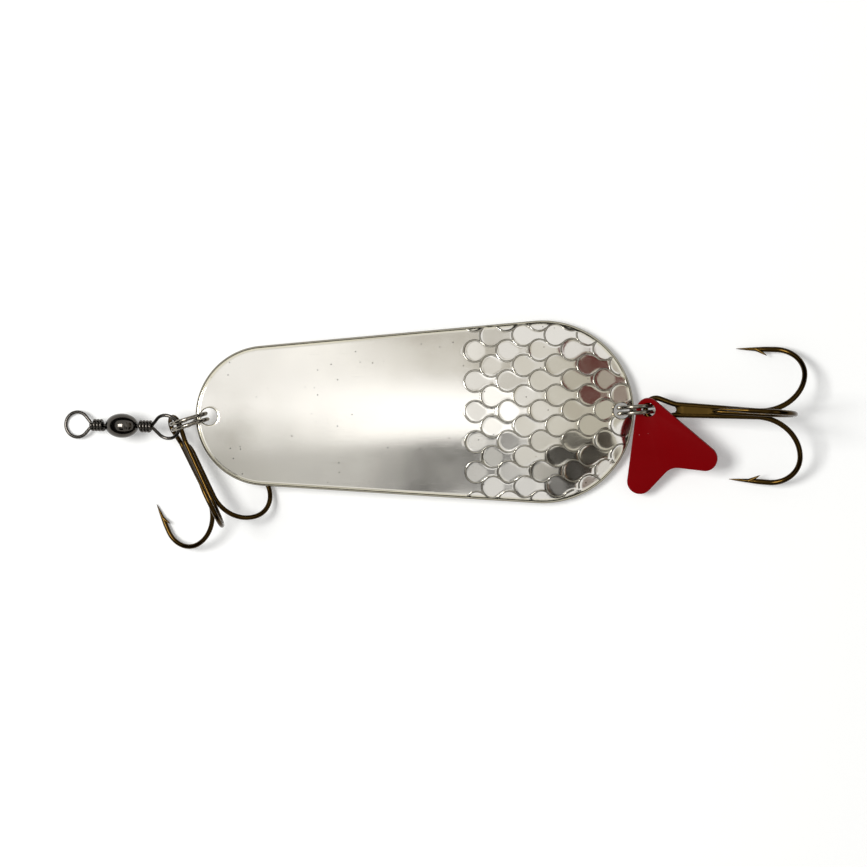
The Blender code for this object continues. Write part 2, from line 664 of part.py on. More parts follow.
def main():
    """Build the lure."""
    clear_scene()
    root = pivot("lure", None, Matrix.Identity(4))
    blade = Matrix.Rotation(-BLADE_PITCH, 4, "Y")
    make_blade(pivot("blade_rest", root, blade))

    head = -BLADE_LENGTH / 2
    bar_x = head + (HEAD_HOLE_INSET - HEAD_HOLE_DIAMETER / 2) / 2
    wire_x = head + HEAD_HOLE_INSET - HEAD_RING_PULL
    front = ring_seat("front_ring", root, blade, bar_x, wire_x, FRONT_RING_YAW)
    make_ring("front_split_ring", front, FRONT_RING_HOLE_ANGLE, FRONT_RING_STEP_PLACE)
    at = on_ring(front, FRONT_RING_HOLE_ANGLE, SWIVEL_RING_ANGLE)
    swivel = turned(at, 0, -SWIVEL_FALL, SWIVEL_YAW)
    swivel_swing = pivot("swivel_swing", front, swivel)
    make_swivel(swivel_swing, swivel @ Matrix.Translation((SWIVEL_EYE_X + SWIVEL_SEAT, 0, 0)))
    front_treble = Treble("front_treble", FRONT_HOOK_WIRE, FRONT_HOOK_EYE_PLAY, FRONT_HOOK_SHANK,
                          FRONT_HOOK_LOWER_BEND, FRONT_HOOK_UPPER_BEND, FRONT_HOOK_POINT,
                          FRONT_HOOK_THIRD_START)
    at = on_ring(front, FRONT_RING_HOLE_ANGLE, FRONT_HOOK_RING_ANGLE)
    place = turned(at, FRONT_HOOK_ROLL, FRONT_HOOK_PITCH, FRONT_HOOK_YAW)
    make_treble(front_treble, pivot("front_treble_swing", front, place))

    tail = BLADE_LENGTH / 2
    bar_x = tail - (TAIL_HOLE_INSET - TAIL_HOLE_DIAMETER / 2) / 2
    wire_x = tail - TAIL_HOLE_INSET - TAIL_RING_SLACK
    rear = ring_seat("tail_ring", root, blade, bar_x, wire_x, TAIL_RING_YAW)
    make_ring("tail_split_ring", rear, TAIL_RING_HOLE_ANGLE, TAIL_RING_STEP_PLACE)
    tail_treble = Treble("tail_treble", TAIL_HOOK_WIRE, TAIL_HOOK_EYE_PLAY, TAIL_HOOK_SHANK,
                         TAIL_HOOK_LOWER_BEND, TAIL_HOOK_UPPER_BEND, TAIL_HOOK_POINT,
                         TAIL_HOOK_THIRD_START)
    at = on_ring(rear, TAIL_RING_HOLE_ANGLE, TAIL_HOOK_RING_ANGLE)
    place = turned(at, TAIL_HOOK_ROLL, TAIL_HOOK_PITCH, TAIL_HOOK_YAW)
    swing = pivot("tail_treble_swing", rear, place)
    eye = place @ Matrix.Translation((TAIL_HOOK_PULL, 0, 0))
    make_treble(tail_treble, pivot("tail_treble_eye", swing, eye))
    tag_angle = TAIL_HOOK_RING_ANGLE + TAG_RISE / RING_RADIUS
    at = on_ring(rear, TAIL_RING_HOLE_ANGLE, tag_angle)
    place = turned(at, TAG_BANK, -TAG_DROOP, TAG_YAW)
    swing = pivot("tail_tag_swing", rear, place)
    make_tag(pivot("tail_tag_eye", swing, place @ Matrix.Translation((0, -TAG_SIDE_SHIFT, 0))))
    stand(root)


main()
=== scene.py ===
"""Looks of a spoon lure that lies on a white table, seen from straight above.

Sizes are in millimetres in the classes and become metres when a mesh is placed. Each class is one sub-assembly of
the lure: it builds its meshes in its own frame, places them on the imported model's joints and dresses them.
"""

from __future__ import annotations

import json
import logging
import math
from collections.abc import Sequence
from dataclasses import dataclass
from enum import Enum

import bmesh
import bpy
import numpy as np
from mathutils import Euler, Matrix, Vector


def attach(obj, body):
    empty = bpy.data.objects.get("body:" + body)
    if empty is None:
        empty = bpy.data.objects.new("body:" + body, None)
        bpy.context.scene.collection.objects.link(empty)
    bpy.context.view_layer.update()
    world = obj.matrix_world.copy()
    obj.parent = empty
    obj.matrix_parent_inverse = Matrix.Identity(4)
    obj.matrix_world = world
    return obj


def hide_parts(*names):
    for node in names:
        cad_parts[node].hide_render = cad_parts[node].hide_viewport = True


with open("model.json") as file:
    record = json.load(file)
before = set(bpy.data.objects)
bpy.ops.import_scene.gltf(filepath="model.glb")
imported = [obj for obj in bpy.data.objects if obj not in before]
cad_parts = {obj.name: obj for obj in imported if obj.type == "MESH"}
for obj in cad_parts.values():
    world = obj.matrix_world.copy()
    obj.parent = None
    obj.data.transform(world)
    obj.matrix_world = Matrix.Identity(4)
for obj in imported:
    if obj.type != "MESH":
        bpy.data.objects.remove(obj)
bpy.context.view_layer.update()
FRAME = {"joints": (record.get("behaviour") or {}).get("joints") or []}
LOG = logging.getLogger("spoon_lure")

MM = 0.001
IMAGE_PIXELS = 867
PIXEL_MM = 0.2281
TURN = 2 * math.pi
WHITE = (1, 1, 1, 1)

Array = np.ndarray
Material = bpy.types.Material
Mesh = bpy.types.Mesh
Node = bpy.types.Node
Socket = bpy.types.NodeSocket
Tree = bpy.types.NodeTree


class Body(Enum):
    """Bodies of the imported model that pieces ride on."""

    BLADE = "blade"
    FRONT_RING = "front_ring"
    TAIL_RING = "tail_ring"
    BARREL = "swivel_barrel"
    LINE_EYE = "swivel_line_eye"
    RING_EYE = "swivel_ring_eye"
    FRONT_TREBLE = "front_treble"
    TAIL_TREBLE = "tail_treble"
    TAG = "tail_tag"


class Slot(Enum):
    """Material slots of the record."""

    NICKEL = "nickel_plated_brass"
    SPRING = "nickel_plated_steel"
    BLACK = "black_nickel"
    BRONZE = "bronzed_steel"
    BRAZE = "braze"
    PLASTIC = "red_plastic"


def linear(code: str) -> tuple[float, float, float, float]:
    """Turn an sRGB hex colour into linear light.

    Args:
        code: Colour such as "#C0A060".

    Returns:
        Linear red, green, blue and an alpha of 1.
    """
    shares = [int(code[start:start + 2], 16) / 255 for start in (1, 3, 5)]
    return (*(s / 12.92 if s <= 0.04045 else ((s + 0.055) / 1.055) ** 2.4 for s in shares), 1.0)


def add_node(tree: Tree, kind: str, inputs: dict | None = None, **settings) -> Node:
    """Add a node with its settings, socket values and links.

    Args:
        tree: Tree that gets the node.
        kind: Node type.
        inputs: Socket name or number to a value, or to an output socket that is linked in.
        **settings: Properties of the node.

    Returns:
        The new node.
    """
    node = tree.nodes.new(kind)
    for name, value in settings.items():
        setattr(node, name, value)
    for key, value in (inputs or {}).items():
        if isinstance(value, Socket):
            tree.links.new(value, node.inputs[key])
        else:
            node.inputs[key].default_value = value
    return node


def feed(tree: Tree, kind: str, inputs: dict | None = None, **settings) -> Socket:
    """Add a node as add_node does and return its first output."""
    return add_node(tree, kind, inputs, **settings).outputs[0]


def blend(tree: Tree, share: Socket, under: Socket | tuple, over: Socket | tuple) -> Socket:
    """Return a mix of two colours, where the share is that of the second one."""
    return add_node(tree, "ShaderNodeMix", {0: share, 6: under, 7: over}, data_type="RGBA").outputs[2]


def ramp(tree: Tree, value: Socket, span: tuple[float, float], result: tuple[float, float] = (0.0, 1.0),
         **settings) -> Socket:
    """Map a value from one range to another and hold it at the ends.

    Args:
        tree: Tree that gets the node.
        value: Value to map.
        span: Values at which the result starts and ends.
        result: Results there.
        **settings: Properties of the node.

    Returns:
        Mapped value.
    """
    return feed(tree, "ShaderNodeMapRange",
                {"Value": value, "From Min": span[0], "From Max": span[1], "To Min": result[0],
                 "To Max": result[1]}, **settings)


def per_metre(size_mm: float) -> float:
    """Return the texture scale whose pattern repeats about every size_mm."""
    return 1 / (size_mm * MM)


def noise(tree: Tree, place: Socket, size_mm: float, detail: float) -> Socket:
    """Return a cloudy pattern from 0 to 1, with clouds of a size in millimetres."""
    return feed(tree, "ShaderNodeTexNoise", {"Vector": place, "Scale": per_metre(size_mm), "Detail": detail})


def dots(tree: Tree, place: Socket, size_mm: float, share: float, core: float, most: float) -> Socket:
    """Scatter round dots.

    Args:
        tree: Tree that gets the nodes.
        place: Object coordinates.
        size_mm: Distance between the dots.
        share: Radius of a dot as a share of that distance.
        core: Share of the radius that is full.
        most: Strength in the core.

    Returns:
        Strength at each place.
    """
    cells = feed(tree, "ShaderNodeTexVoronoi", {"Vector": place, "Scale": per_metre(size_mm)})
    return ramp(tree, cells, (share * core, share), (most, 0.0))


def bumped(tree: Tree, height: Socket, depth_mm: float, under: Socket | None = None) -> Socket:
    """Raise a pattern over another one.

    Args:
        tree: Tree that gets the node.
        height: Pattern from 0 to 1.
        depth_mm: Height of the pattern; negative sinks it.
        under: Normal below, if any.

    Returns:
        Normal socket.
    """
    inputs = {"Height": height, "Distance": abs(depth_mm) * MM, "Strength": 1.0}
    if under:
        inputs["Normal"] = under
    return feed(tree, "ShaderNodeBump", inputs, invert=depth_mm < 0)


@dataclass(frozen=True)
class Finish:
    """A surface with a cloudy tone, whose material is made once."""

    name: str
    pale: str
    deep: str

    def material(self) -> Material:
        """Return the material of this finish."""
        made = bpy.data.materials.get(self.name)
        if not made:
            made = bpy.data.materials.new(self.name)
            made.use_nodes = True
            tree = made.node_tree
            place = add_node(tree, "ShaderNodeTexCoord").outputs["Object"]
            self.dress(tree, tree.nodes["Principled BSDF"], place)
        return made

    def dress(self, tree: Tree, shader: Node, place: Socket) -> None:
        """Link the surface's patterns to the shader.

        Args:
            tree: Material tree.
            shader: Its shader.
            place: Object coordinates.
        """
        raise NotImplementedError


@dataclass(frozen=True)
class MetalFinish(Finish):
    """A plated, lacquered or bare metal, with cloudy tone, wear specks, fine scratches and slight waves."""

    roughness: tuple[float, float]
    cloud_mm: float
    speck_mm: float = 0.0
    speck_share: float = 0.0
    speck_colour: str = "#3A352C"
    grain_mm: float = 0.0
    grain_depth_mm: float = 0.0
    wave_mm: float = 0.0
    wave_depth_mm: float = 0.0
    scratch_mm: float = 0.0
    scratch_depth_mm: float = 0.0
    rim_colour: str = ""
    painted_outline_colour: str = ""
    painted_flank_shade_colour: str = ""

    CLOUD_DETAIL = 3.0
    CLOUD_SPAN = (0.3, 0.7)
    SPECK_CORE = 0.5
    SPECK_STRENGTH = 0.85
    RIM_SPAN = (0.0, 0.5)
    PAINTED_OUTLINE_SPAN = (0.62, 0.95)
    STEEP_SPAN = (0.78, 0.97)
    WAVE_DETAIL = 1.0
    GRAIN_DETAIL = 4.0
    SCRATCH_ANGLES = (0.35, 1.25, 2.4)
    SCRATCH_STRETCH = (1, 22, 1)
    SCRATCH_SPAN = (0.68, 0.76)

    def dress(self, tree: Tree, shader: Node, place: Socket) -> None:
        """Link tone, roughness and relief to the shader, as Finish.dress says."""
        shader.inputs["Metallic"].default_value = 1.0
        cloud = noise(tree, place, self.cloud_mm, self.CLOUD_DETAIL)
        tree.links.new(self.tone(tree, place, cloud), shader.inputs["Base Color"])
        tree.links.new(ramp(tree, cloud, self.CLOUD_SPAN, self.roughness), shader.inputs["Roughness"])
        tree.links.new(self.relief(tree, place), shader.inputs["Normal"])

    def tone(self, tree: Tree, place: Socket, cloud: Socket) -> Socket:
        """Lay pitted specks, a beige rim with a painted dark outline, and painted shade on steep flanks over the
        cloudy tone.

        Args:
            tree: Material tree.
            place: Object coordinates.
            cloud: Cloudy pattern.

        Returns:
            Colour socket.
        """
        tone = blend(tree, cloud, linear(self.deep), linear(self.pale))
        if self.speck_mm:
            pits = dots(tree, place, self.speck_mm, self.speck_share, self.SPECK_CORE, self.SPECK_STRENGTH)
            tone = blend(tree, pits, tone, linear(self.speck_colour))
        # Beige towards the rim; its outermost part and the holes' lips get a dark outline that is painted shade
        if self.rim_colour:
            rim = add_node(tree, "ShaderNodeAttribute", attribute_name="rim").outputs["Fac"]
            for code, span in ((self.rim_colour, self.RIM_SPAN), (self.painted_outline_colour, self.PAINTED_OUTLINE_SPAN)):
                tone = blend(tree, ramp(tree, rim, span), tone, linear(code))
        # Painted shade: steep flanks are darkened by the direction of their normal
        if self.painted_flank_shade_colour:
            normal = add_node(tree, "ShaderNodeTexCoord").outputs["Normal"]
            upright = add_node(tree, "ShaderNodeSeparateXYZ", {0: normal}).outputs["Z"]
            steep = ramp(tree, upright, self.STEEP_SPAN, (1.0, 0.0))
            tone = blend(tree, steep, tone, linear(self.painted_flank_shade_colour))
        return tone

    def relief(self, tree: Tree, place: Socket) -> Socket:
        """Chain the bumps of waves, grain and scratches.

        Args:
            tree: Material tree.
            place: Object coordinates.

        Returns:
            Normal socket.
        """
        normal = None
        for size, depth, detail in ((self.wave_mm, self.wave_depth_mm, self.WAVE_DETAIL),
                                    (self.grain_mm, self.grain_depth_mm, self.GRAIN_DETAIL)):
            if depth:
                normal = bumped(tree, noise(tree, place, size, detail), depth, normal)
        if self.scratch_depth_mm:
            for angle in self.SCRATCH_ANGLES:
                lines = feed(tree, "ShaderNodeMapping",
                             {"Vector": place, "Rotation": (0, 0, angle), "Scale": self.SCRATCH_STRETCH})
                cut = ramp(tree, noise(tree, lines, self.scratch_mm, 1.0), self.SCRATCH_SPAN)
                normal = bumped(tree, cut, -self.scratch_depth_mm, normal)
        return normal


@dataclass(frozen=True)
class PlasticFinish(Finish):
    """Punched red PVC sheet: even colour through and through, satin gloss, dust specks and faint scuffs."""

    roughness: float
    cloud_mm: float
    dust_mm: float
    dust_share: float
    dust_colour: str
    grain_mm: float
    grain_depth_mm: float

    IOR = 1.53
    SPECULAR = 0.03
    CLOUD_DETAIL = 2.0
    GRAIN_DETAIL = 3.0
    DUST_CORE = 0.4
    DUST_STRENGTH = 0.8
    SCUFF_SPAN = (0.8, 1.2)

    def dress(self, tree: Tree, shader: Node, place: Socket) -> None:
        """Link tone, dust, scuffs and grain to the shader, as Finish.dress says."""
        shader.inputs["IOR"].default_value = self.IOR
        shader.inputs["Specular IOR Level"].default_value = self.SPECULAR
        cloud = noise(tree, place, self.cloud_mm, self.CLOUD_DETAIL)
        base = blend(tree, cloud, linear(self.deep), linear(self.pale))
        dust = dots(tree, place, self.dust_mm, self.dust_share, self.DUST_CORE, self.DUST_STRENGTH)
        tree.links.new(blend(tree, dust, base, linear(self.dust_colour)), shader.inputs["Base Color"])
        rough = (self.roughness * self.SCUFF_SPAN[0], self.roughness * self.SCUFF_SPAN[1])
        tree.links.new(ramp(tree, cloud, (0.0, 1.0), rough), shader.inputs["Roughness"])
        grain = noise(tree, place, self.grain_mm, self.GRAIN_DETAIL)
        tree.links.new(bumped(tree, grain, self.grain_depth_mm), shader.inputs["Normal"])


# Bright nickel plate on polished brass sheet: mirror-like and slightly warm, softened by handling scratches
# Its rim turns beige and ends in a dark outline at the edge and the holes' lips, painted as shade
BLADE_NICKEL = MetalFinish("bright_nickel_plate", "#E6E3DD", "#DAD6CD", (0.10, 0.17), 14.0, speck_mm=2.5,
                           speck_share=0.075, grain_mm=0.5, grain_depth_mm=0.0006, wave_mm=17.0,
                           wave_depth_mm=0.06, scratch_mm=5.0, scratch_depth_mm=0.0012,
                           rim_colour="#CFC9B4", painted_outline_colour="#4E483B")
# The same plate on the ridges of the stamped scales, where the die left it a little smoother and pitted; its darker
# tone and its darker steep flanks are painted shade
SHADED_SCALE_NICKEL = MetalFinish("stamped_nickel_plate", "#B6B2A8", "#A29E92", (0.09, 0.16), 4.0, speck_mm=2.2,
                           speck_share=0.05, grain_mm=0.4, grain_depth_mm=0.0012, painted_flank_shade_colour="#5C584E")
# Brass of the sheet, bare where the ring has worn the plate off the hole
BARE_BRASS = MetalFinish("bare_brass", "#B08A3C", "#7A5A22", (0.25, 0.40), 0.8, grain_mm=0.3,
                         grain_depth_mm=0.004)
# Nickel-plated spring steel wire, drawn and coiled: greyer than the blade, with a fine grain
RING_STEEL = MetalFinish("nickel_plated_spring_wire", "#999387", "#716B61", (0.10, 0.18), 2.0, grain_mm=0.35,
                         grain_depth_mm=0.002)
# Black nickel plate on brass: dark mirror with a grey-brown cast
SWIVEL_BLACK = MetalFinish("black_nickel_plate", "#57534E", "#3E3B37", (0.08, 0.15), 2.2, speck_mm=1.6,
                           speck_share=0.05, speck_colour="#171513", grain_mm=0.3, grain_depth_mm=0.003)
# Clear bronze lacquer on forged hook steel: deep brown with golden lights where it is thin
HOOK_BRONZE = MetalFinish("bronze_lacquered_steel", "#443214", "#291D0A", (0.11, 0.19), 3.0, speck_mm=1.4,
                          speck_share=0.06, speck_colour="#2A1F10", grain_mm=0.5, grain_depth_mm=0.004)
# Braze under the same lacquer: rougher and duller than the wires
HOOK_BRAZE = MetalFinish("lacquered_braze", "#3A2B10", "#251B09", (0.42, 0.56), 1.2, speck_mm=0.9,
                         speck_share=0.10, speck_colour="#33260F", grain_mm=0.45, grain_depth_mm=0.02)
# Soft PVC sheet, dyed through and punched: satin red with dust and scuffs
TAG_RED = PlasticFinish("red_pvc_sheet", "#7A0106", "#700104", 0.34, 8.0, 2.6, 0.035, "#D9B4B0", 0.4, 0.003)


def joint_place(name: str) -> Vector:
    """Return a joint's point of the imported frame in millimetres."""
    found = next(joint for joint in FRAME["joints"] if joint["name"] == name)
    return Vector(found["pos_m"]) / MM


def turned(place: Vector, roll: float, pitch: float, yaw: float) -> Matrix:
    """Return the matrix of a piece at a place.

    Args:
        place: Point in millimetres.
        roll: Degrees about its own length.
        pitch: Degrees that its length is lifted.
        yaw: Degrees about the vertical.

    Returns:
        Matrix in millimetres.
    """
    angles = Euler((math.radians(roll), -math.radians(pitch), math.radians(yaw)), "XYZ")
    return Matrix.Translation(place) @ angles.to_matrix().to_4x4()


def smooth_share(share: float | Array) -> float | Array:
    """Ease a share from 0 to 1 at both ends."""
    return share * share * (3 - 2 * share)


def mesh_of(name: str, points: Sequence, faces: Sequence, edges: Sequence = ()) -> Mesh:
    """Return a mesh from lists.

    Args:
        name: Mesh name.
        points: Vertex places.
        faces: Vertex numbers of each face.
        edges: Vertex numbers of loose edges.

    Returns:
        The mesh.
    """
    mesh = bpy.data.meshes.new(name)
    mesh.from_pydata([tuple(point) for point in points], list(edges), list(faces))
    mesh.update()
    return mesh


def tube(name: str, points: Sequence, sides: int, closed: bool = False) -> Mesh:
    """Return the skin over rings of points, with its faces turned outwards.

    Args:
        name: Mesh name.
        points: Places, ring after ring.
        sides: Places in a ring.
        closed: Whether the last ring joins the first; otherwise both ends get a cap.

    Returns:
        The mesh.
    """
    rings = len(points) // sides
    faces = []
    for ring in range(rings if closed else rings - 1):
        here, there = ring * sides, (ring + 1) % rings * sides
        for side in range(sides):
            after = (side + 1) % sides
            faces.append((here + side, there + side, there + after, here + after))
    if not closed:
        faces += [tuple(range(sides))[::-1], tuple(range((rings - 1) * sides, rings * sides))]
    mesh = mesh_of(name, points, faces)
    shape = bmesh.new()
    shape.from_mesh(mesh)
    bmesh.ops.recalc_face_normals(shape, faces=shape.faces)
    shape.to_mesh(mesh)
    shape.free()
    return mesh


def join(meshes: Sequence[Mesh], name: str) -> Mesh:
    """Put several meshes, which are removed, into one of a new name."""
    shape = bmesh.new()
    for mesh in meshes:
        shape.from_mesh(mesh)
        bpy.data.meshes.remove(mesh)
    result = bpy.data.meshes.new(name)
    shape.to_mesh(result)
    shape.free()
    return result


def linked(name: str, data: bpy.types.ID) -> bpy.types.Object:
    """Return a new object of a mesh, lamp or camera in the scene."""
    item = bpy.data.objects.new(name, data)
    bpy.context.scene.collection.objects.link(item)
    return item


def show(name: str, mesh: Mesh, matrix: Matrix, materials: Sequence[Material], body: Body,
         nodes: Sequence[str] = (), sharp_degrees: float = 40.0) -> bpy.types.Object:
    """Place a mesh as a finished piece that rides on a body.

    Args:
        name: Piece name.
        mesh: Mesh in millimetres in the piece's own frame.
        matrix: Place of the piece in millimetres.
        materials: Materials in the order of the faces' numbers.
        body: Body that carries the piece.
        nodes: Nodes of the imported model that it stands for.
        sharp_degrees: Edges that turn more than this stay crisp.

    Returns:
        The object.
    """
    mesh.transform(Matrix.Scale(MM, 4) @ matrix)
    mesh.materials.clear()
    for item in materials:
        mesh.materials.append(item)
    mesh.shade_smooth()
    mesh.set_sharp_from_angle(angle=math.radians(sharp_degrees))
    piece = linked(name, mesh)
    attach(piece, body.value)
    if nodes:
        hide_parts(*nodes)
    LOG.info("%s: %d faces on %s", name, len(mesh.polygons), body.value)
    return piece


def new_tree(name: str, sockets: dict[str, str]) -> tuple[Tree, Sequence[Socket]]:
    """Start a Geometry Nodes tree.

    Args:
        name: Tree name.
        sockets: Input names and kinds of value besides the geometry.

    Returns:
        The tree and its inputs.
    """
    tree = bpy.data.node_groups.new(name, "GeometryNodeTree")
    tree.interface.new_socket("Geometry", in_out="INPUT", socket_type="NodeSocketGeometry")
    for label, kind in sockets.items():
        tree.interface.new_socket(label, in_out="INPUT", socket_type=f"NodeSocket{kind}")
    tree.interface.new_socket("Geometry", in_out="OUTPUT", socket_type="NodeSocketGeometry")
    return tree, add_node(tree, "NodeGroupInput").outputs


def close_tree(tree: Tree, shape: Socket, material: Socket) -> None:
    """End a tree in smooth, realized geometry with its material.

    Args:
        tree: Tree to end.
        shape: Geometry socket.
        material: Material socket.
    """
    smooth = feed(tree, "GeometryNodeSetShadeSmooth", {"Geometry": shape})
    real = feed(tree, "GeometryNodeRealizeInstances", {"Geometry": smooth})
    dressed = feed(tree, "GeometryNodeSetMaterial", {"Geometry": real, "Material": material})
    add_node(tree, "NodeGroupOutput", {"Geometry": dressed})


def baked(carrier: bpy.types.Object) -> Mesh:
    """Return the mesh that an object's modifiers give, and remove the object."""
    source = carrier.data
    bpy.context.view_layer.update()
    graph = bpy.context.evaluated_depsgraph_get()
    result = bpy.data.meshes.new_from_object(carrier.evaluated_get(graph), depsgraph=graph)
    bpy.data.objects.remove(carrier)
    bpy.data.meshes.remove(source)
    return result


def grown(mesh: Mesh, tree: Tree, values: dict) -> Mesh:
    """Run a tree on a mesh and return the result as a plain mesh.

    Args:
        mesh: Points or edges that the tree starts from; removed afterwards.
        tree: Geometry Nodes tree.
        values: Input names and values.

    Returns:
        The grown mesh.
    """
    carrier = linked(mesh.name, mesh)
    change = carrier.modifiers.new(tree.name, "NODES")
    change.node_group = tree
    for item in tree.interface.items_tree:
        if item.in_out == "INPUT" and item.name in values:
            change[item.identifier] = values[item.name]
    return baked(carrier)


class WireSweep:
    """Geometry Nodes tree that sweeps a round wire along a line of points."""

    SIDES = 16

    def __init__(self) -> None:
        """Build the tree."""
        self.tree, given = new_tree("wire_sweep", {"Wire Diameter": "Float", "Sides": "Int",
                                                   "Material": "Material"})
        line = feed(self.tree, "GeometryNodeMeshToCurve", {"Mesh": given["Geometry"]})
        half = feed(self.tree, "ShaderNodeMath", {0: given["Wire Diameter"], 1: 0.5}, operation="MULTIPLY")
        profile = feed(self.tree, "GeometryNodeCurvePrimitiveCircle",
                       {"Resolution": given["Sides"], "Radius": half})
        share = feed(self.tree, "GeometryNodeInputNamedAttribute", {"Name": "share"}, data_type="FLOAT")
        wire = feed(self.tree, "GeometryNodeCurveToMesh",
                    {"Curve": line, "Profile Curve": profile, "Scale": share, "Fill Caps": True})
        close_tree(self.tree, wire, given["Material"])

    def wire(self, name: str, points: Sequence[Vector], diameter: float, material: Material,
             shares: Sequence[float] | None = None) -> Mesh:
        """Sweep one wire.

        Args:
            name: Mesh name.
            points: Places along the wire.
            diameter: Wire diameter.
            material: Material of the wire.
            shares: Share of the diameter at each place.

        Returns:
            Mesh of the wire.
        """
        line = mesh_of(name, points, [], [(index, index + 1) for index in range(len(points) - 1)])
        layer = line.attributes.new("share", "FLOAT", "POINT")
        layer.data.foreach_set("value", np.array(shares or [1.0] * len(points), np.float32))
        return grown(line, self.tree, {"Wire Diameter": diameter, "Sides": self.SIDES, "Material": material})


def eased(start: Vector, start_slope: Vector, end: Vector, end_slope: Vector, steps: int) -> list[Vector]:
    """Return the inner points of a smooth curve between two places.

    Args:
        start: First place, not returned.
        start_slope: Direction and pull at the start.
        end: Last place, not returned.
        end_slope: Direction and pull at the end.
        steps: Number of stretches.

    Returns:
        Points between the ends.
    """
    points = []
    for index in range(1, steps):
        t = index / steps
        points.append(start * (2 * t ** 3 - 3 * t ** 2 + 1) + start_slope * (t ** 3 - 2 * t ** 2 + t)
                      + end * (3 * t ** 2 - 2 * t ** 3) + end_slope * (t ** 3 - t ** 2))
    return points


def arc(centre: Vector, radius: float, start: float, end: float, steps: int) -> list[Vector]:
    """Return points of an arc in the XY plane, both ends included.

    Args:
        centre: Centre of the arc.
        radius: Radius.
        start: First angle in radians.
        end: Last angle in radians.
        steps: Number of stretches.

    Returns:
        Points along the arc.
    """
    angles = [start + (end - start) * index / steps for index in range(steps + 1)]
    return [centre + radius * Vector((math.cos(angle), math.sin(angle), 0)) for angle in angles]


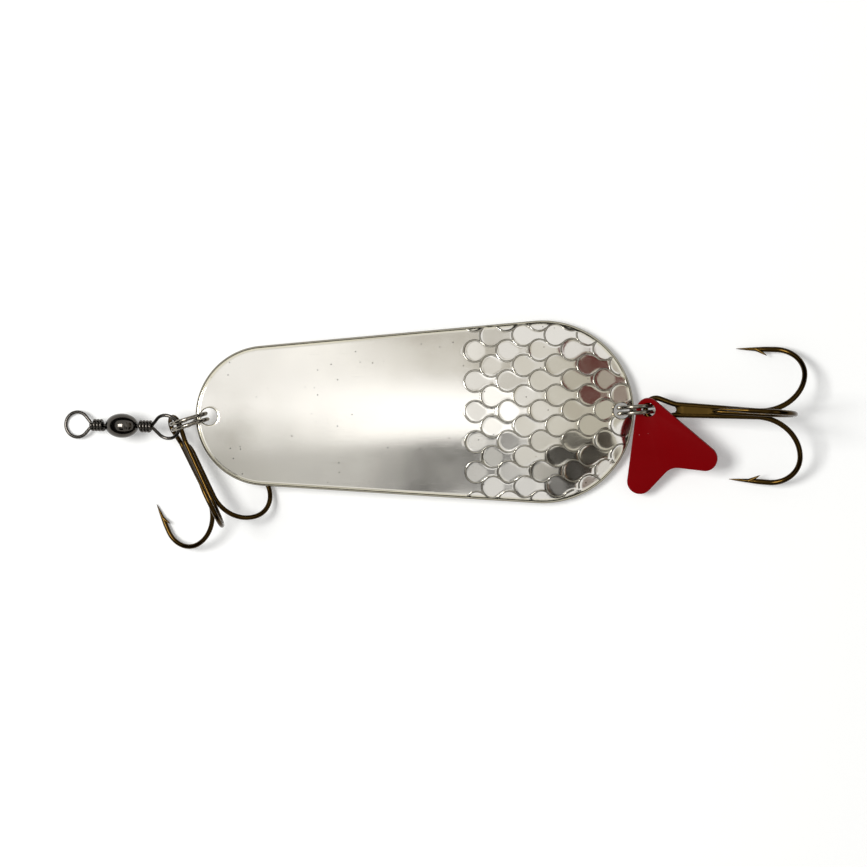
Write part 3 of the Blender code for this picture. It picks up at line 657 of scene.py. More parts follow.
@dataclass
class Blade:
    """Stamped and crowned sheet with a rounded edge, two holes and fish-scale embossing on its tail half.

    In its methods x and y are places along and across the blade, in arrays of one shape.
    """

    length: float = 100.0
    head_radius: float = 16.0
    tail_radius: float = 20.9
    thickness: float = 1.3
    head_crown: float = 75.0
    tail_crown: float = 48.0
    bend_length: float = 31.0
    bend_degrees: float = 17.0
    pitch_degrees: float = 0.15
    bar_inset: float = 0.5825
    head_hole_inset: float = 3.1
    tail_hole_inset: float = 2.9
    head_hole: float = 3.87
    tail_hole: float = 3.67
    edge_round: float = 0.55
    rim_width: float = 1.2
    rim_drop: float = 0.16
    hole_round: float = 0.17
    hole_round_depth: float = 0.12
    scale_radius: float = 2.48
    scale_column: float = 7.39
    scale_row: float = 6.9
    first_scale_x: float = 13.73
    first_scale_y: float = 0.27
    scale_open_degrees: float = 48.0
    scale_tilt_degrees: float = 2.2
    facet_border: float = 0.42
    ridge_width: float = 0.44
    ridge_height: float = 0.22
    ridge_steepest: float = 0.83
    line_inset: float = 0.85
    line_width: float = 0.14
    line_depth: float = 0.035
    line_end: float = 5.0
    line_fade: float = 30.0
    curl: float = 0.042
    curl_start: float = 44.3
    curl_y: float = -5.2
    curl_width: float = 2.8
    columns: int = 200
    head_rows: int = 40
    plain_rows: int = 45
    scale_rows: int = 54
    tail_rows: int = 64

    # Shares of the pitch by which the two lattices of scales are shifted
    SHIFTS = (0.0, 0.5)
    HALVINGS = 50
    PROBE = 0.01
    TIP_MARGIN = 0.5
    TINY = 1e-6
    RIDGE_STEPS = 48
    BEAD_SIDES = 12
    RAY_LIFTS = 4.0
    # Factors that turn a scale's column, row and shift into its chance lean along and across
    LEAN_SEEDS = (12.99, 78.23, 37.7, 43758.5)
    BANK_SEEDS = (39.35, 11.13, 91.1, 24634.6)
    HOLE_PASSES = 4
    HOLE_REACH = 1.5
    HOLE_EASE = 0.4
    SCALE_COLUMNS = range(8)
    SCALE_ROWS = range(-5, 6)

    @property
    def head_x(self) -> float:
        """Centre of the head's round."""
        return self.head_radius - self.length / 2

    @property
    def tail_x(self) -> float:
        """Centre of the tail's round."""
        return self.length / 2 - self.tail_radius

    @property
    def holes(self) -> tuple[tuple[float, float], ...]:
        """Place and radius of the head hole and of the tail hole."""
        return ((self.head_hole_inset - self.length / 2, self.head_hole / 2),
                (self.length / 2 - self.tail_hole_inset, self.tail_hole / 2))

    @property
    def matrix(self) -> Matrix:
        """Place of the blade, found from the joint in the bar between head hole and edge."""
        turn = Matrix.Rotation(-math.radians(self.pitch_degrees), 4, "Y")
        bar = Vector((self.bar_inset - self.length / 2, 0, 0))
        return Matrix.Translation(joint_place("front_ring_swing") - turn @ bar) @ turn

    def rise(self, x: Array) -> Array:
        """Height of the centre line, level up to the bend and falling along an arc after it."""
        run = np.maximum(0.0, x - (self.length / 2 - self.bend_length))
        radius = self.bend_length / math.sin(math.radians(self.bend_degrees))
        return np.sqrt(radius ** 2 - run ** 2) - radius

    def middle(self, x: Array, y: Array) -> Array:
        """Height of the sheet's middle surface."""
        crown = self.head_crown + (self.tail_crown - self.head_crown) * (0.5 + x / self.length)
        return self.rise(x) + np.sqrt(crown ** 2 - y ** 2) - crown

    def middle_at(self, x: float) -> float:
        """Height of the middle surface on the centre line."""
        return float(self.middle(np.array([x]), np.array([0.0]))[0])

    def depth(self, x: Array, y: Array) -> Array:
        """Distance from the outline, positive inside."""
        along = x - self.head_x
        across = np.abs(y)
        span = self.tail_x - self.head_x
        lean = (self.head_radius - self.tail_radius) / span
        slope = math.sqrt(1 - lean ** 2)
        reach = -lean * across + slope * along
        head = self.head_radius - np.hypot(across, along)
        tail = self.tail_radius - np.hypot(across, along - span)
        side = self.head_radius - (slope * across + lean * along)
        return np.where(reach < 0, head, np.where(reach > slope * span, tail, side))

    def half_width(self, x: Array) -> Array:
        """Half width of the outline, found by halving."""
        low = np.zeros_like(x)
        high = np.full_like(x, 2 * self.tail_radius)
        for _ in range(self.HALVINGS):
            guess = (low + high) / 2
            inside = self.depth(x, guess) > 0
            low = np.where(inside, guess, low)
            high = np.where(inside, high, guess)
        return (low + high) / 2

    def way(self, x: Array, y: Array, column: Array, shift: float) -> tuple[Array, Array, Array]:
        """Find the way from a scale's centre.

        Args:
            x: Places along the blade.
            y: Places across it.
            column: Column of each place's scale.
            shift: Share of the pitch by which the scale's lattice is shifted.

        Returns:
            Nearest row, and the way along and across from the scale there.
        """
        row = np.round((y - self.first_scale_y) / self.scale_row - shift)
        return (row, x - self.first_scale_x - (column + shift) * self.scale_column,
                y - self.first_scale_y - (row + shift) * self.scale_row)

    def emboss(self, x: Array, y: Array) -> Array:
        """Height that the die adds: each scale is pressed flat and leans a little its own way."""
        taken = np.zeros(x.shape, bool)
        total = np.zeros_like(x)
        cells = []
        for shift in self.SHIFTS:
            column = np.floor((x - self.first_scale_x + self.scale_radius) / self.scale_column - shift)
            row, dx, dy = self.way(x, y, column, shift)
            cells.append((shift, column, row, dx, dy))
            lobe = np.hypot(dx, dy) < self.scale_radius
            taken |= lobe
            total = np.where(lobe, self.facet(x, y, *cells[-1]), total)
        nearer = np.abs(cells[0][-1]) < np.abs(cells[1][-1])
        for mine, (shift, column, row, dx, dy) in zip((nearer, ~nearer), cells):
            left = dx < 0
            column = np.where(left, column - 1, column)
            dx = np.where(left, dx + self.scale_column, dx)
            total = np.where(~taken & mine, self.facet(x, y, shift, column, row, dx, dy), total)
        return total * smooth_share(np.clip(self.ridge_distance(x, y) / self.facet_border, 0, 1))

    def ridge_distance(self, x: Array, y: Array) -> Array:
        """Distance from the nearest ridge's line, an arc that is open towards the tail."""
        opening = math.radians(self.scale_open_degrees)
        nearest = np.full_like(x, self.scale_column)
        for shift in self.SHIFTS:
            column = np.maximum(0.0, np.round((x - self.first_scale_x) / self.scale_column - shift))
            _, dx, dy = self.way(x, y, column, shift)
            past = np.maximum(0.0, dx * math.sin(opening) - np.abs(dy) * math.cos(opening))
            nearest = np.minimum(nearest, np.hypot(np.hypot(dx, dy) - self.scale_radius, past))
        return nearest

    def facet(self, x: Array, y: Array, shift: float, column: Array, row: Array, dx: Array, dy: Array) -> Array:
        """Height of a scale's flat over the sheet's middle surface.

        Args:
            x: Places along the blade.
            y: Places across it.
            shift: Share of the pitch by which the scale's lattice is shifted.
            column: Column of the scale.
            row: Row of the scale.
            dx: Way along from the scale's centre.
            dy: Way across from the scale's centre.

        Returns:
            Height in millimetres.
        """
        width = self.half_width(np.clip(x - dx, self.head_x, self.length / 2 - self.TIP_MARGIN))
        cx, cy = x - dx, np.sign(y - dy) * np.minimum(width, np.abs(y - dy))
        step = self.PROBE
        along = (self.middle(cx + step, cy) - self.middle(cx - step, cy)) / (2 * step)
        across = (self.middle(cx, cy + step) - self.middle(cx, cy - step)) / (2 * step)
        flat = self.middle(cx, cy) + along * dx + across * (y - cy) - self.middle(x, y)
        sink = self.scale_radius ** 2 / (2 * self.tail_crown)
        chances = [np.sin(column * a + row * b + shift * c) * d % 1 for a, b, c, d in
                   (self.LEAN_SEEDS, self.BANK_SEEDS)]
        lean = math.tan(math.radians(self.scale_tilt_degrees))
        reach = np.clip(dx, -self.scale_radius, self.scale_radius)
        tilt = lean * (reach * (2 * chances[0] - 1) + dy * (2 * chances[1] - 1))
        return np.where(column >= 0, flat - sink + tilt, 0.0)

    def grid(self) -> tuple[Array, Array]:
        """Return the plan places of the rows between the two end points, as two arrays."""
        lean = math.asin((self.tail_radius - self.head_radius) / (self.tail_x - self.head_x))
        corner = math.pi / 2 + lean
        head = [self.head_x + self.head_radius * math.cos(math.pi + (corner - math.pi) * i / self.head_rows)
                for i in range(1, self.head_rows + 1)]
        tail = [self.tail_x + self.tail_radius * math.cos(corner * (1 - i / self.tail_rows))
                for i in range(self.tail_rows)]
        edge = self.first_scale_x - self.scale_radius
        plain = np.linspace(head[-1], edge, self.plain_rows + 1)[1:]
        stamped = np.linspace(edge, tail[0], self.scale_rows + 1)[1:-1]
        x = np.concatenate([head, plain, stamped, tail])
        across = np.sin(np.linspace(-math.pi / 2, math.pi / 2, self.columns + 1))
        return np.repeat(x[:, None], self.columns + 1, 1), self.half_width(x)[:, None] * across[None, :]

    def heights(self, x: Array, y: Array) -> tuple[Array, Array]:
        """Return the heights of the upper and the lower face."""
        inside = np.maximum(0.0, self.depth(x, y))
        near = np.clip(1 - inside / self.edge_round, 0, 1)
        half = self.thickness / 2 * np.sqrt(1 - near ** 2)
        rim = np.clip(1 - inside / self.rim_width, 0, 1)
        level = self.middle(x, y) + self.emboss(x, y) - self.rim_drop * rim ** 2
        level -= (self.curl * np.maximum(0.0, x - self.curl_start) ** 2
                  * np.exp(-((y - self.curl_y) / self.curl_width) ** 2))
        line = self.line_depth * np.exp(-((inside - self.line_inset) / self.line_width) ** 2)
        line = line * np.clip((self.line_end - x) / self.line_fade, 0, 1)
        return level + half - line, level - half

    def open_hole(self, x: Array, y: Array, centre: float, radius: float, taken: Array) -> None:
        """Take the cells in a hole out of the grid and draw the ones around it up to its circle.

        Args:
            x: Plan places, changed here.
            y: Plan places, changed here.
            centre: Place of the hole along the blade.
            radius: Radius of the hole.
            taken: Marks of the cells that are gone, changed here.
        """
        middle_x = (x[:-1, :-1] + x[1:, 1:]) / 2
        middle_y = (y[:-1, :-1] + y[1:, 1:]) / 2
        gone = np.hypot(middle_x - centre, middle_y) < radius
        taken |= gone
        touch_gone = np.zeros(x.shape, bool)
        touch_kept = np.zeros(x.shape, bool)
        for row in (slice(None, -1), slice(1, None)):
            for column in (slice(None, -1), slice(1, None)):
                touch_gone[row, column] |= gone
                touch_kept[row, column] |= ~gone
        edge = touch_gone & touch_kept
        for _ in range(self.HOLE_PASSES):
            reach = np.hypot(x - centre, y)
            scale = np.where(edge, radius / np.maximum(reach, self.TINY), 1.0)
            x[:] = centre + (x - centre) * scale
            y *= scale
            loose = (reach < radius + self.HOLE_REACH) & ~edge & ~(touch_gone & ~touch_kept)
            loose[[0, -1], :] = False
            for places in (x, y):
                mean = sum(np.roll(places, way, axis) for axis in (0, 1) for way in (1, -1)) / 4
                places[:] = np.where(loose, places * (1 - self.HOLE_EASE) + mean * self.HOLE_EASE, places)

    def sheet(self) -> Mesh:
        """Return the closed mesh of the sheet, with the walls of the tail hole as its second material."""
        x, y = self.grid()
        taken = np.zeros((x.shape[0] - 1, x.shape[1] - 1), bool)
        for centre, radius in self.holes:
            self.open_hole(x, y, centre, radius + self.hole_round, taken)
        upper, lower = self.heights(x, y)
        rows, columns = x.shape
        top = np.arange(rows * columns).reshape(rows, columns)
        under = top.copy()
        under[:, 1:-1] = np.arange(rows * (columns - 2)).reshape(rows, columns - 2) + top.size
        points = list(zip(x.ravel(), y.ravel(), upper.ravel()))
        points += zip(x[:, 1:-1].ravel(), y[:, 1:-1].ravel(), lower[:, 1:-1].ravel())
        head, tail = len(points), len(points) + 1
        points += [(end, 0.0, self.middle_at(end) - self.rim_drop) for end in (-self.length / 2, self.length / 2)]
        faces = []
        for layer, way in ((top, 1), (under, -1)):
            skin = [(layer[i, j], layer[i + 1, j], layer[i + 1, j + 1], layer[i, j + 1])
                    for i, j in zip(*np.nonzero(~taken))]
            skin += [(head, layer[0, j], layer[0, j + 1]) for j in range(columns - 1)]
            skin += [(tail, layer[-1, j + 1], layer[-1, j]) for j in range(columns - 1)]
            faces += [face[::way] for face in skin]
        marks = [0] * len(faces)
        lips = {}
        for i, j in zip(*np.nonzero(taken)):
            at_tail = int(x[i, j] > 0)
            centre, radius = self.holes[at_tail]
            share = radius / (radius + self.hole_round)
            corners = ((i, j), (i + 1, j), (i + 1, j + 1), (i, j + 1))
            beyond = (taken[i, j - 1], taken[i + 1, j], taken[i, j + 1], taken[i - 1, j])
            for side, open_side in enumerate(beyond):
                if open_side:
                    continue
                first, second = corners[side], corners[(side + 1) % 4]
                for corner in (first, second):
                    if corner not in lips:
                        lips[corner] = len(points)
                        points.append((centre + (x[corner] - centre) * share, y[corner] * share,
                                       upper[corner] - self.hole_round_depth))
                faces.append((top[first], top[second], lips[second], lips[first]))
                faces.append((lips[first], lips[second], under[second], under[first]))
                marks += [0, at_tail]
        mesh = mesh_of("blade_sheet", points, faces)
        mesh.polygons.foreach_set("material_index", np.array(marks, np.int32))
        plan = np.array(points)
        # Share of the rim tint: 1 at the outline and at the holes' lips, where the finish paints a dark outline as
        # painted shade
        rim_and_painted_outline = np.clip(1 - self.depth(plan[:, 0], plan[:, 1]) / self.rim_width, 0, 1)
        for centre, radius in self.holes:
            lip = np.hypot(plan[:, 0] - centre, plan[:, 1]) - radius
            rim_and_painted_outline = np.maximum(rim_and_painted_outline, np.clip(1 - lip / (2 * self.hole_round), 0, 1))
        mesh.attributes.new("rim", "FLOAT", "POINT").data.foreach_set("value", rim_and_painted_outline.astype(np.float32))
        return mesh

    def scale_centres(self) -> list[Vector]:
        """Return the centres of the scales that reach onto the blade."""
        centres = [(self.first_scale_x + (column + shift) * self.scale_column,
                    self.first_scale_y + (row + shift) * self.scale_row)
                   for shift in self.SHIFTS for column in self.SCALE_COLUMNS for row in self.SCALE_ROWS]
        return [Vector((x, y, 0)) for x, y in centres
                if self.depth(np.array([x]), np.array([y]))[0] > -self.scale_radius]

    def ridge_tree(self) -> Tree:
        """Return the tree that lays an open circle round each centre on the sheet and raises it as a bead."""
        tree, given = new_tree("scale_ridges", {
            "Sheet": "Object", "Scale Radius": "Float", "Open Angle": "Float", "Ridge Width": "Float",
            "Ridge Height": "Float", "Lift": "Float", "Steepest": "Float", "Material": "Material"})
        sweep = feed(tree, "ShaderNodeMath", {0: given["Open Angle"], 1: -2.0, 2: TURN},
                     operation="MULTIPLY_ADD")
        ring = feed(tree, "GeometryNodeCurveArc",
                    {"Resolution": self.RIDGE_STEPS, "Radius": given["Scale Radius"],
                     "Start Angle": given["Open Angle"], "Sweep Angle": sweep}, mode="RADIUS")
        spots = feed(tree, "GeometryNodeMeshToPoints", {"Mesh": given["Geometry"]})
        rings = feed(tree, "GeometryNodeInstanceOnPoints", {"Points": spots, "Instance": ring})
        real = feed(tree, "GeometryNodeRealizeInstances", {"Geometry": rings})
        lines = feed(tree, "GeometryNodeCurveToMesh", {"Curve": real})
        sheet = add_node(tree, "GeometryNodeObjectInfo", {"Object": given["Sheet"]}).outputs["Geometry"]
        place = feed(tree, "GeometryNodeInputPosition")
        lift = feed(tree, "ShaderNodeCombineXYZ", {"Z": given["Lift"]})
        above = feed(tree, "ShaderNodeVectorMath", {0: place, 1: lift}, operation="ADD")
        reach = feed(tree, "ShaderNodeMath", {0: given["Lift"], 1: self.RAY_LIFTS}, operation="MULTIPLY")
        ray = add_node(tree, "GeometryNodeRaycast",
                       {"Target Geometry": sheet, "Source Position": above, "Ray Direction": (0, 0, -1),
                        "Ray Length": reach}).outputs
        marked = feed(tree, "GeometryNodeStoreNamedAttribute",
                      {"Geometry": lines, "Name": "lean", "Value": ray["Hit Normal"]},
                      data_type="FLOAT_VECTOR", domain="POINT")
        upright = add_node(tree, "ShaderNodeSeparateXYZ", {0: ray["Hit Normal"]}).outputs["Z"]
        level = feed(tree, "FunctionNodeCompare", {0: upright, 1: given["Steepest"]}, data_type="FLOAT",
                     operation="GREATER_THAN")
        off = feed(tree, "FunctionNodeBooleanMath", {0: ray["Is Hit"], 1: level}, operation="NAND")
        cut = feed(tree, "GeometryNodeDeleteGeometry", {"Geometry": marked, "Selection": off}, domain="POINT")
        laid = feed(tree, "GeometryNodeSetPosition", {"Geometry": cut, "Position": ray["Hit Position"]})
        curve = feed(tree, "GeometryNodeMeshToCurve", {"Mesh": laid})
        lean = feed(tree, "GeometryNodeInputNamedAttribute", {"Name": "lean"}, data_type="FLOAT_VECTOR")
        stood = feed(tree, "GeometryNodeSetCurveNormal", {"Curve": curve, "Normal": lean}, mode="FREE")
        circle = feed(tree, "GeometryNodeCurvePrimitiveCircle", {"Resolution": self.BEAD_SIDES, "Radius": 0.5})
        size = feed(tree, "ShaderNodeCombineXYZ",
                    {"X": given["Ridge Height"], "Y": given["Ridge Width"], "Z": 1.0})
        profile = feed(tree, "GeometryNodeTransform", {"Geometry": circle, "Scale": size})
        bead = feed(tree, "GeometryNodeCurveToMesh",
                    {"Curve": stood, "Profile Curve": profile, "Fill Caps": True})
        close_tree(tree, bead, given["Material"])
        return tree

    def build(self) -> None:
        """Build and dress the sheet and the ridges of its scales."""
        sheet = show("blade_sheet", self.sheet(), self.matrix, [BLADE_NICKEL.material(), BARE_BRASS.material()],
                     Body.BLADE, ["blade"])
        centres = [self.matrix @ centre * MM for centre in self.scale_centres()]
        ridges = grown(mesh_of("blade_scale_ridges", centres, []), self.ridge_tree(), {
            "Sheet": sheet, "Scale Radius": self.scale_radius * MM,
            "Open Angle": math.radians(self.scale_open_degrees), "Ridge Width": self.ridge_width * MM,
            "Ridge Height": self.ridge_height * MM, "Lift": self.length * MM / 4,
            "Steepest": self.ridge_steepest, "Material": SHADED_SCALE_NICKEL.material()})
        show("blade_scale_ridges", ridges, Matrix.Scale(1 / MM, 4), [SHADED_SCALE_NICKEL.material()], Body.BLADE)


@dataclass
class SplitRing:
    """Two-turn spring wire ring."""

    name: str
    body: Body
    wire_x: float
    yaw_degrees: float
    hole_degrees: float
    step_degrees: float
    diameter: float = 9.15
    wire: float = 0.92
    turn_gap: float = 0.43
    step_width_degrees: float = 30.0
    points_per_turn: int = 72

    def spot(self, angle: float) -> Vector:
        """Return the point of the wire's middle circle at an angle in radians, from +X towards +Z."""
        radius = (self.diameter - self.wire) / 2
        return Vector((radius * math.cos(angle), 0, radius * math.sin(angle)))

    def matrix(self, blade: Blade) -> Matrix:
        """Return the ring's place, with its wire in the hole of the blade that carries it."""
        seat = blade.matrix @ Vector((self.wire_x, 0, blade.middle_at(self.wire_x)))
        turn = Matrix.Rotation(math.radians(self.yaw_degrees), 4, "Z")
        return Matrix.Translation(seat) @ turn @ Matrix.Translation(-self.spot(math.radians(self.hole_degrees)))

    def build(self, sweep: WireSweep, blade: Blade) -> None:
        """Build and dress the ring.

        Args:
            sweep: Wire tree.
            blade: Blade that carries the ring.
        """
        step = math.radians(self.step_width_degrees)
        count = 2 * self.points_per_turn
        points = []
        for index in range(count + 1):
            angle = step + (2 * TURN - 2 * step) * index / count
            share = min(1.0, max(0.0, (angle - TURN + step) / (2 * step)))
            side = (self.wire + self.turn_gap) * (smooth_share(share) - 0.5)
            points.append(self.spot(angle + math.radians(self.step_degrees)) + Vector((0, side, 0)))
        finish = RING_STEEL.material()
        mesh = sweep.wire(self.name, points, self.wire, finish)
        show(f"{self.name}_wire", mesh, self.matrix(blade), [finish], self.body, [self.name])


@dataclass
class Swivel:
    """Barrel swivel: an olive shell with a wrapped wire eye at each end."""

    barrel_length: float = 7.2
    barrel_diameter: float = 5.6
    end_diameter: float = 2.3
    wall: float = 0.45
    wire: float = 0.78
    eye_diameter: float = 6.5
    eye_neck: float = 3.8
    head_diameter: float = 1.9
    head_length: float = 1.0
    wrap_turns: float = 3.5
    wrap_radius: float = 1.04
    wrap_length: float = 2.72
    play: float = 0.15
    yaw_degrees: float = 177.7
    fall_degrees: float = 19.5
    ring_eye_roll_degrees: float = 24.0
    end_round: float = 0.12
    leave_share: float = 0.2
    cross_share: float = 0.75
    loop_steps: int = 64
    leave_steps: int = 8
    cross_steps: int = 14
    wrap_steps: int = 36
    sides: int = 72
    stations: int = 40

    def eye_line(self) -> tuple[list[Vector], list[float]]:
        """Return the points and diameter shares of an eye's wire, from its head in the barrel outwards."""
        inner = self.barrel_length / 2 - self.wall - self.play
        flare = self.head_diameter / self.wire
        radius = (self.eye_diameter - self.wire) / 2
        neck = self.barrel_length / 2 + self.play + self.wire + self.wrap_length
        points = [Vector((x, 0, 0)) for x in (inner - self.head_length, inner - self.wire / 2, inner,
                                              neck - self.wire / 2)]
        shares = [flare, flare, 1.0, 1.0]
        fork = Vector((neck, 0, 0))
        open_angle = math.pi - math.acos(radius / self.eye_neck)
        loop = arc(Vector((neck + self.eye_neck, 0, 0)), radius, open_angle, -open_angle, self.loop_steps)
        leave = fork.lerp(loop[0], self.leave_share)
        points += eased(points[-1], Vector((self.wire, 0, 0)), leave, (loop[0] - fork).normalized() * self.wire,
                        self.leave_steps)
        points += [leave] + loop
        count = round(self.wrap_turns * self.wrap_steps)
        wraps = []
        for index in range(count + 1):
            angle = TURN * index / self.wrap_steps
            x = neck - self.wrap_length * index / count
            wraps.append(Vector((x, self.wrap_radius * math.sin(angle), self.wrap_radius * math.cos(angle))))
        cross = loop[-1].lerp(fork, self.cross_share)
        pull = (wraps[0] - cross).length
        points += [cross] + eased(cross, (fork - loop[-1]).normalized() * pull, wraps[0],
                                  (wraps[1] - wraps[0]).normalized() * pull, self.cross_steps)
        points += wraps
        return points, shares + [1.0] * (len(points) - len(shares))

    def barrel(self) -> Mesh:
        """Return the hollow olive, turned about X."""
        half = self.barrel_length / 2
        wide = self.barrel_diameter / 2
        bore = self.wire / 2 + self.play
        bulge = half / math.sqrt(1 - (self.end_diameter / self.barrel_diameter) ** 2)
        profile = [(half - self.end_round, bore), (half, bore + self.end_round)]
        for index in range(self.stations + 1):
            x = half * math.cos(math.pi * index / self.stations)
            profile.append((x, wide * math.sqrt(1 - (x / bulge) ** 2)))
        profile += [(-half, bore + self.end_round), (self.end_round - half, bore)]
        inner = half - self.wall
        profile.append((-inner, bore))
        for index in range(1, self.stations):
            x = -inner * math.cos(math.pi * index / self.stations)
            profile.append((x, (wide - self.wall) * math.sqrt(1 - (x / (bulge - self.wall)) ** 2)))
        profile.append((inner, bore))
        turns = [TURN * side / self.sides for side in range(self.sides)]
        points = [(x, r * math.cos(turn), r * math.sin(turn)) for x, r in profile for turn in turns]
        return tube("swivel_barrel_shell", points, self.sides, closed=True)

    def build(self, sweep: WireSweep) -> None:
        """Build and dress the barrel and both eyes with the wire tree."""
        finish = SWIVEL_BLACK.material()
        place = turned(joint_place("swivel_barrel_spin"), 0, -self.fall_degrees, self.yaw_degrees)
        roll = Matrix.Rotation(math.radians(self.ring_eye_roll_degrees), 4, "X")
        back = place @ Matrix.Rotation(math.pi, 4, "Z") @ roll
        show("swivel_barrel_shell", self.barrel(), place, [finish], Body.BARREL, ["swivel_barrel"])
        points, shares = self.eye_line()
        for name, matrix, body in (("swivel_line_eye", place, Body.LINE_EYE),
                                   ("swivel_ring_eye", back, Body.RING_EYE)):
            mesh = sweep.wire(name, points, self.wire, finish, shares)
            show(f"{name}_wire", mesh, matrix, [finish], body, [name])


@dataclass
class TrebleHook:
    """Treble hook: a double hook bent from one wire, a third hook in its groove and the braze that joins them.

    Heights and widths of barbs and braze are shares of the wire's diameter.
    """

    name: str
    body: Body
    wire: float
    eye_radius: float
    shank: float
    lower_bend: float
    upper_bend: float
    point: float
    roll_degrees: float
    pitch_degrees: float
    yaw_degrees: float
    third_start_share: float
    pull: float = 0.0
    leg_spread: float = 1.1
    leg_gap: float = 0.10
    eye_open_degrees: float = 75.0
    prong_degrees: float = 120.0
    point_droop_degrees: float = 2.0
    point_taper_share: float = 0.72
    point_taper_power: float = 0.8
    tip_share: float = 0.06
    barb_start_share: float = 0.50
    barb_length_share: float = 0.33
    barb_lift_degrees: float = 31.0
    barb_hook: float = 0.10
    barb_width: float = 0.42
    barb_height: float = 0.40
    barb_tip: float = 0.01
    braze_front: float = 0.75
    braze_end_share: float = 1.02
    braze_height: float = 0.44
    braze_shoulder: float = 0.42
    braze_ridge: float = 0.30
    braze_bow: float = 0.75
    bend_points: int = 28
    fork_points: int = 16
    point_points: int = 24
    barb_rings: int = 9
    barb_sides: int = 10
    braze_sections: int = 48

    # Run in millimetres and diameter share of the third wire's rounded start
    LEAD = ((0.0, 0.30), (0.25, 0.52), (0.7, 0.74), (1.4, 0.90), (2.4, 1.0))
    LEAD_SINK = 0.45
    BARB_WIDTH_POWER = 0.7
    BARB_HEIGHT_POWER = 0.75
    BRAZE_CORNERS = 8
    BRAZE_SHARP_DEGREES = 75.0
    # The braze grows from its least height over one part in 9 of its length and ends over one part in 14
    BRAZE_LEAST = 0.25
    BRAZE_START_PARTS = 9
    BRAZE_END_PARTS = 14
    # Its hollow front runs out over one part in 7
    BRAZE_HOLLOW_PARTS = 7
    # It climbs to the third wire over a run that leads that wire's start, and narrows on the way
    BRAZE_LEAD = 1.0
    BRAZE_CLIMB = 3.4
    BRAZE_SINK_SHARE = 0.15
    BRAZE_FLARE = 0.1
    BRAZE_FLANK_SHARE = 0.8

    @property
    def throat(self) -> float:
        """Place along the shank where the eye has closed."""
        return 2 * self.eye_radius

    @property
    def close(self) -> float:
        """Distance of each leg from the middle at the bends."""
        return (self.wire + self.leg_gap) / 2

    @property
    def spread(self) -> float:
        """Distance of each leg from the middle at the eye."""
        return (self.wire + self.leg_spread) / 2

    @property
    def third_start(self) -> float:
        """Place along the shank where the third wire starts."""
        return self.throat + (self.shank - self.throat) * self.third_start_share

    @property
    def third_height(self) -> float:
        """Height of the third wire over the two legs."""
        return math.sqrt((self.wire + self.leg_gap) ** 2 - self.close ** 2) + self.leg_gap

    def bend(self, start: Vector, outward: Vector) -> tuple[list[Vector], list[float]]:
        """Return the points and diameter shares of one hook, from the end of its shank to its tip.

        Args:
            start: Place of the leg at the eye's end, seen along the shank.
            outward: Direction in which the hook opens.

        Returns:
            Points and shares.
        """
        angles = [math.pi / 2 * index / self.bend_points for index in range(self.bend_points + 1)]
        places = [(self.shank + self.lower_bend * math.sin(angle), self.lower_bend * (1 - math.cos(angle)))
                  for angle in angles]
        middle = self.shank + self.lower_bend - self.upper_bend
        places += [(middle + self.upper_bend * math.cos(angle), self.lower_bend + self.upper_bend * math.sin(angle))
                   for angle in angles[1:]]
        shares = [1.0] * len(places)
        droop = math.radians(self.point_droop_degrees)
        top = places[-1][1]
        for index in range(1, self.point_points + 1):
            run = self.point * index / self.point_points
            places.append((middle - run * math.cos(droop), top - run * math.sin(droop)))
            left = (self.point - run) / (self.point_taper_share * self.point)
            shares.append(min(1.0, self.tip_share + (1 - self.tip_share) * left ** self.point_taper_power))
        return [start + Vector((x, 0, 0)) + outward * rise for x, rise in places], shares

    def barb(self, hook: Sequence[Vector], outward: Vector) -> Mesh:
        """Return the sliver that is cut up from the inner side of a point.

        Args:
            hook: Points of the hook, ending in its tip.
            outward: Direction in which the hook opens.

        Returns:
            Mesh of the barb.
        """
        back = (hook[-4] - hook[-1]).normalized()
        lift = math.radians(self.barb_lift_degrees)
        along = back * math.cos(lift) - outward * math.sin(lift)
        side = back.cross(outward).normalized()
        up = side.cross(along).normalized()
        root = hook[-1] + back * (self.barb_start_share * self.point)
        length = self.barb_length_share * self.point
        points = []
        for index in range(self.barb_rings):
            share = index / (self.barb_rings - 1)
            centre = root + along * (length * share) - outward * (self.barb_hook * self.wire * share * share)
            wide = self.barb_width * self.wire * (1 - share) ** self.BARB_WIDTH_POWER + self.barb_tip
            tall = self.barb_height * self.wire * (1 - share) ** self.BARB_HEIGHT_POWER + self.barb_tip
            for corner in range(self.barb_sides):
                angle = TURN * corner / self.barb_sides
                points.append(centre + side * (wide * math.cos(angle)) + up * (tall * math.sin(angle)))
        return tube("barb", points, self.barb_sides)

    def double_hook(self, sweep: WireSweep, finish: Material) -> Mesh:
        """Return the eye, both legs and both hooks in one wire, with both barbs.

        Args:
            sweep: Wire tree.
            finish: Material of the wire.

        Returns:
            The mesh.
        """
        opening = math.radians(self.eye_open_degrees)
        loop = arc(Vector(), self.eye_radius, opening, TURN - opening, 2 * self.bend_points)
        run = Vector((self.shank - self.throat, self.close - self.spread, 0)).normalized()
        start = Vector((self.throat, self.spread, 0))
        pull = self.throat / 2
        leave = (loop[0] - loop[1]).normalized() * pull
        half = [start] + eased(start, -run * pull, loop[0], -leave, self.fork_points)
        prong = math.radians(self.prong_degrees)
        aside = Vector((0, math.sin(prong), math.cos(prong)))
        upper, shares = self.bend(Vector((0, self.close, 0)), aside)
        mirror = Matrix.Diagonal((1, -1, 1, 1))
        lower = [mirror @ place for place in upper]
        points = upper[::-1] + half + loop + [mirror @ place for place in half[::-1]] + lower
        plain = [1.0] * (len(points) - 2 * len(shares))
        wire = sweep.wire(self.name, points, self.wire, finish, shares[::-1] + plain + shares)
        return join([wire, self.barb(upper, aside), self.barb(lower, mirror @ aside)], f"{self.name}_double")

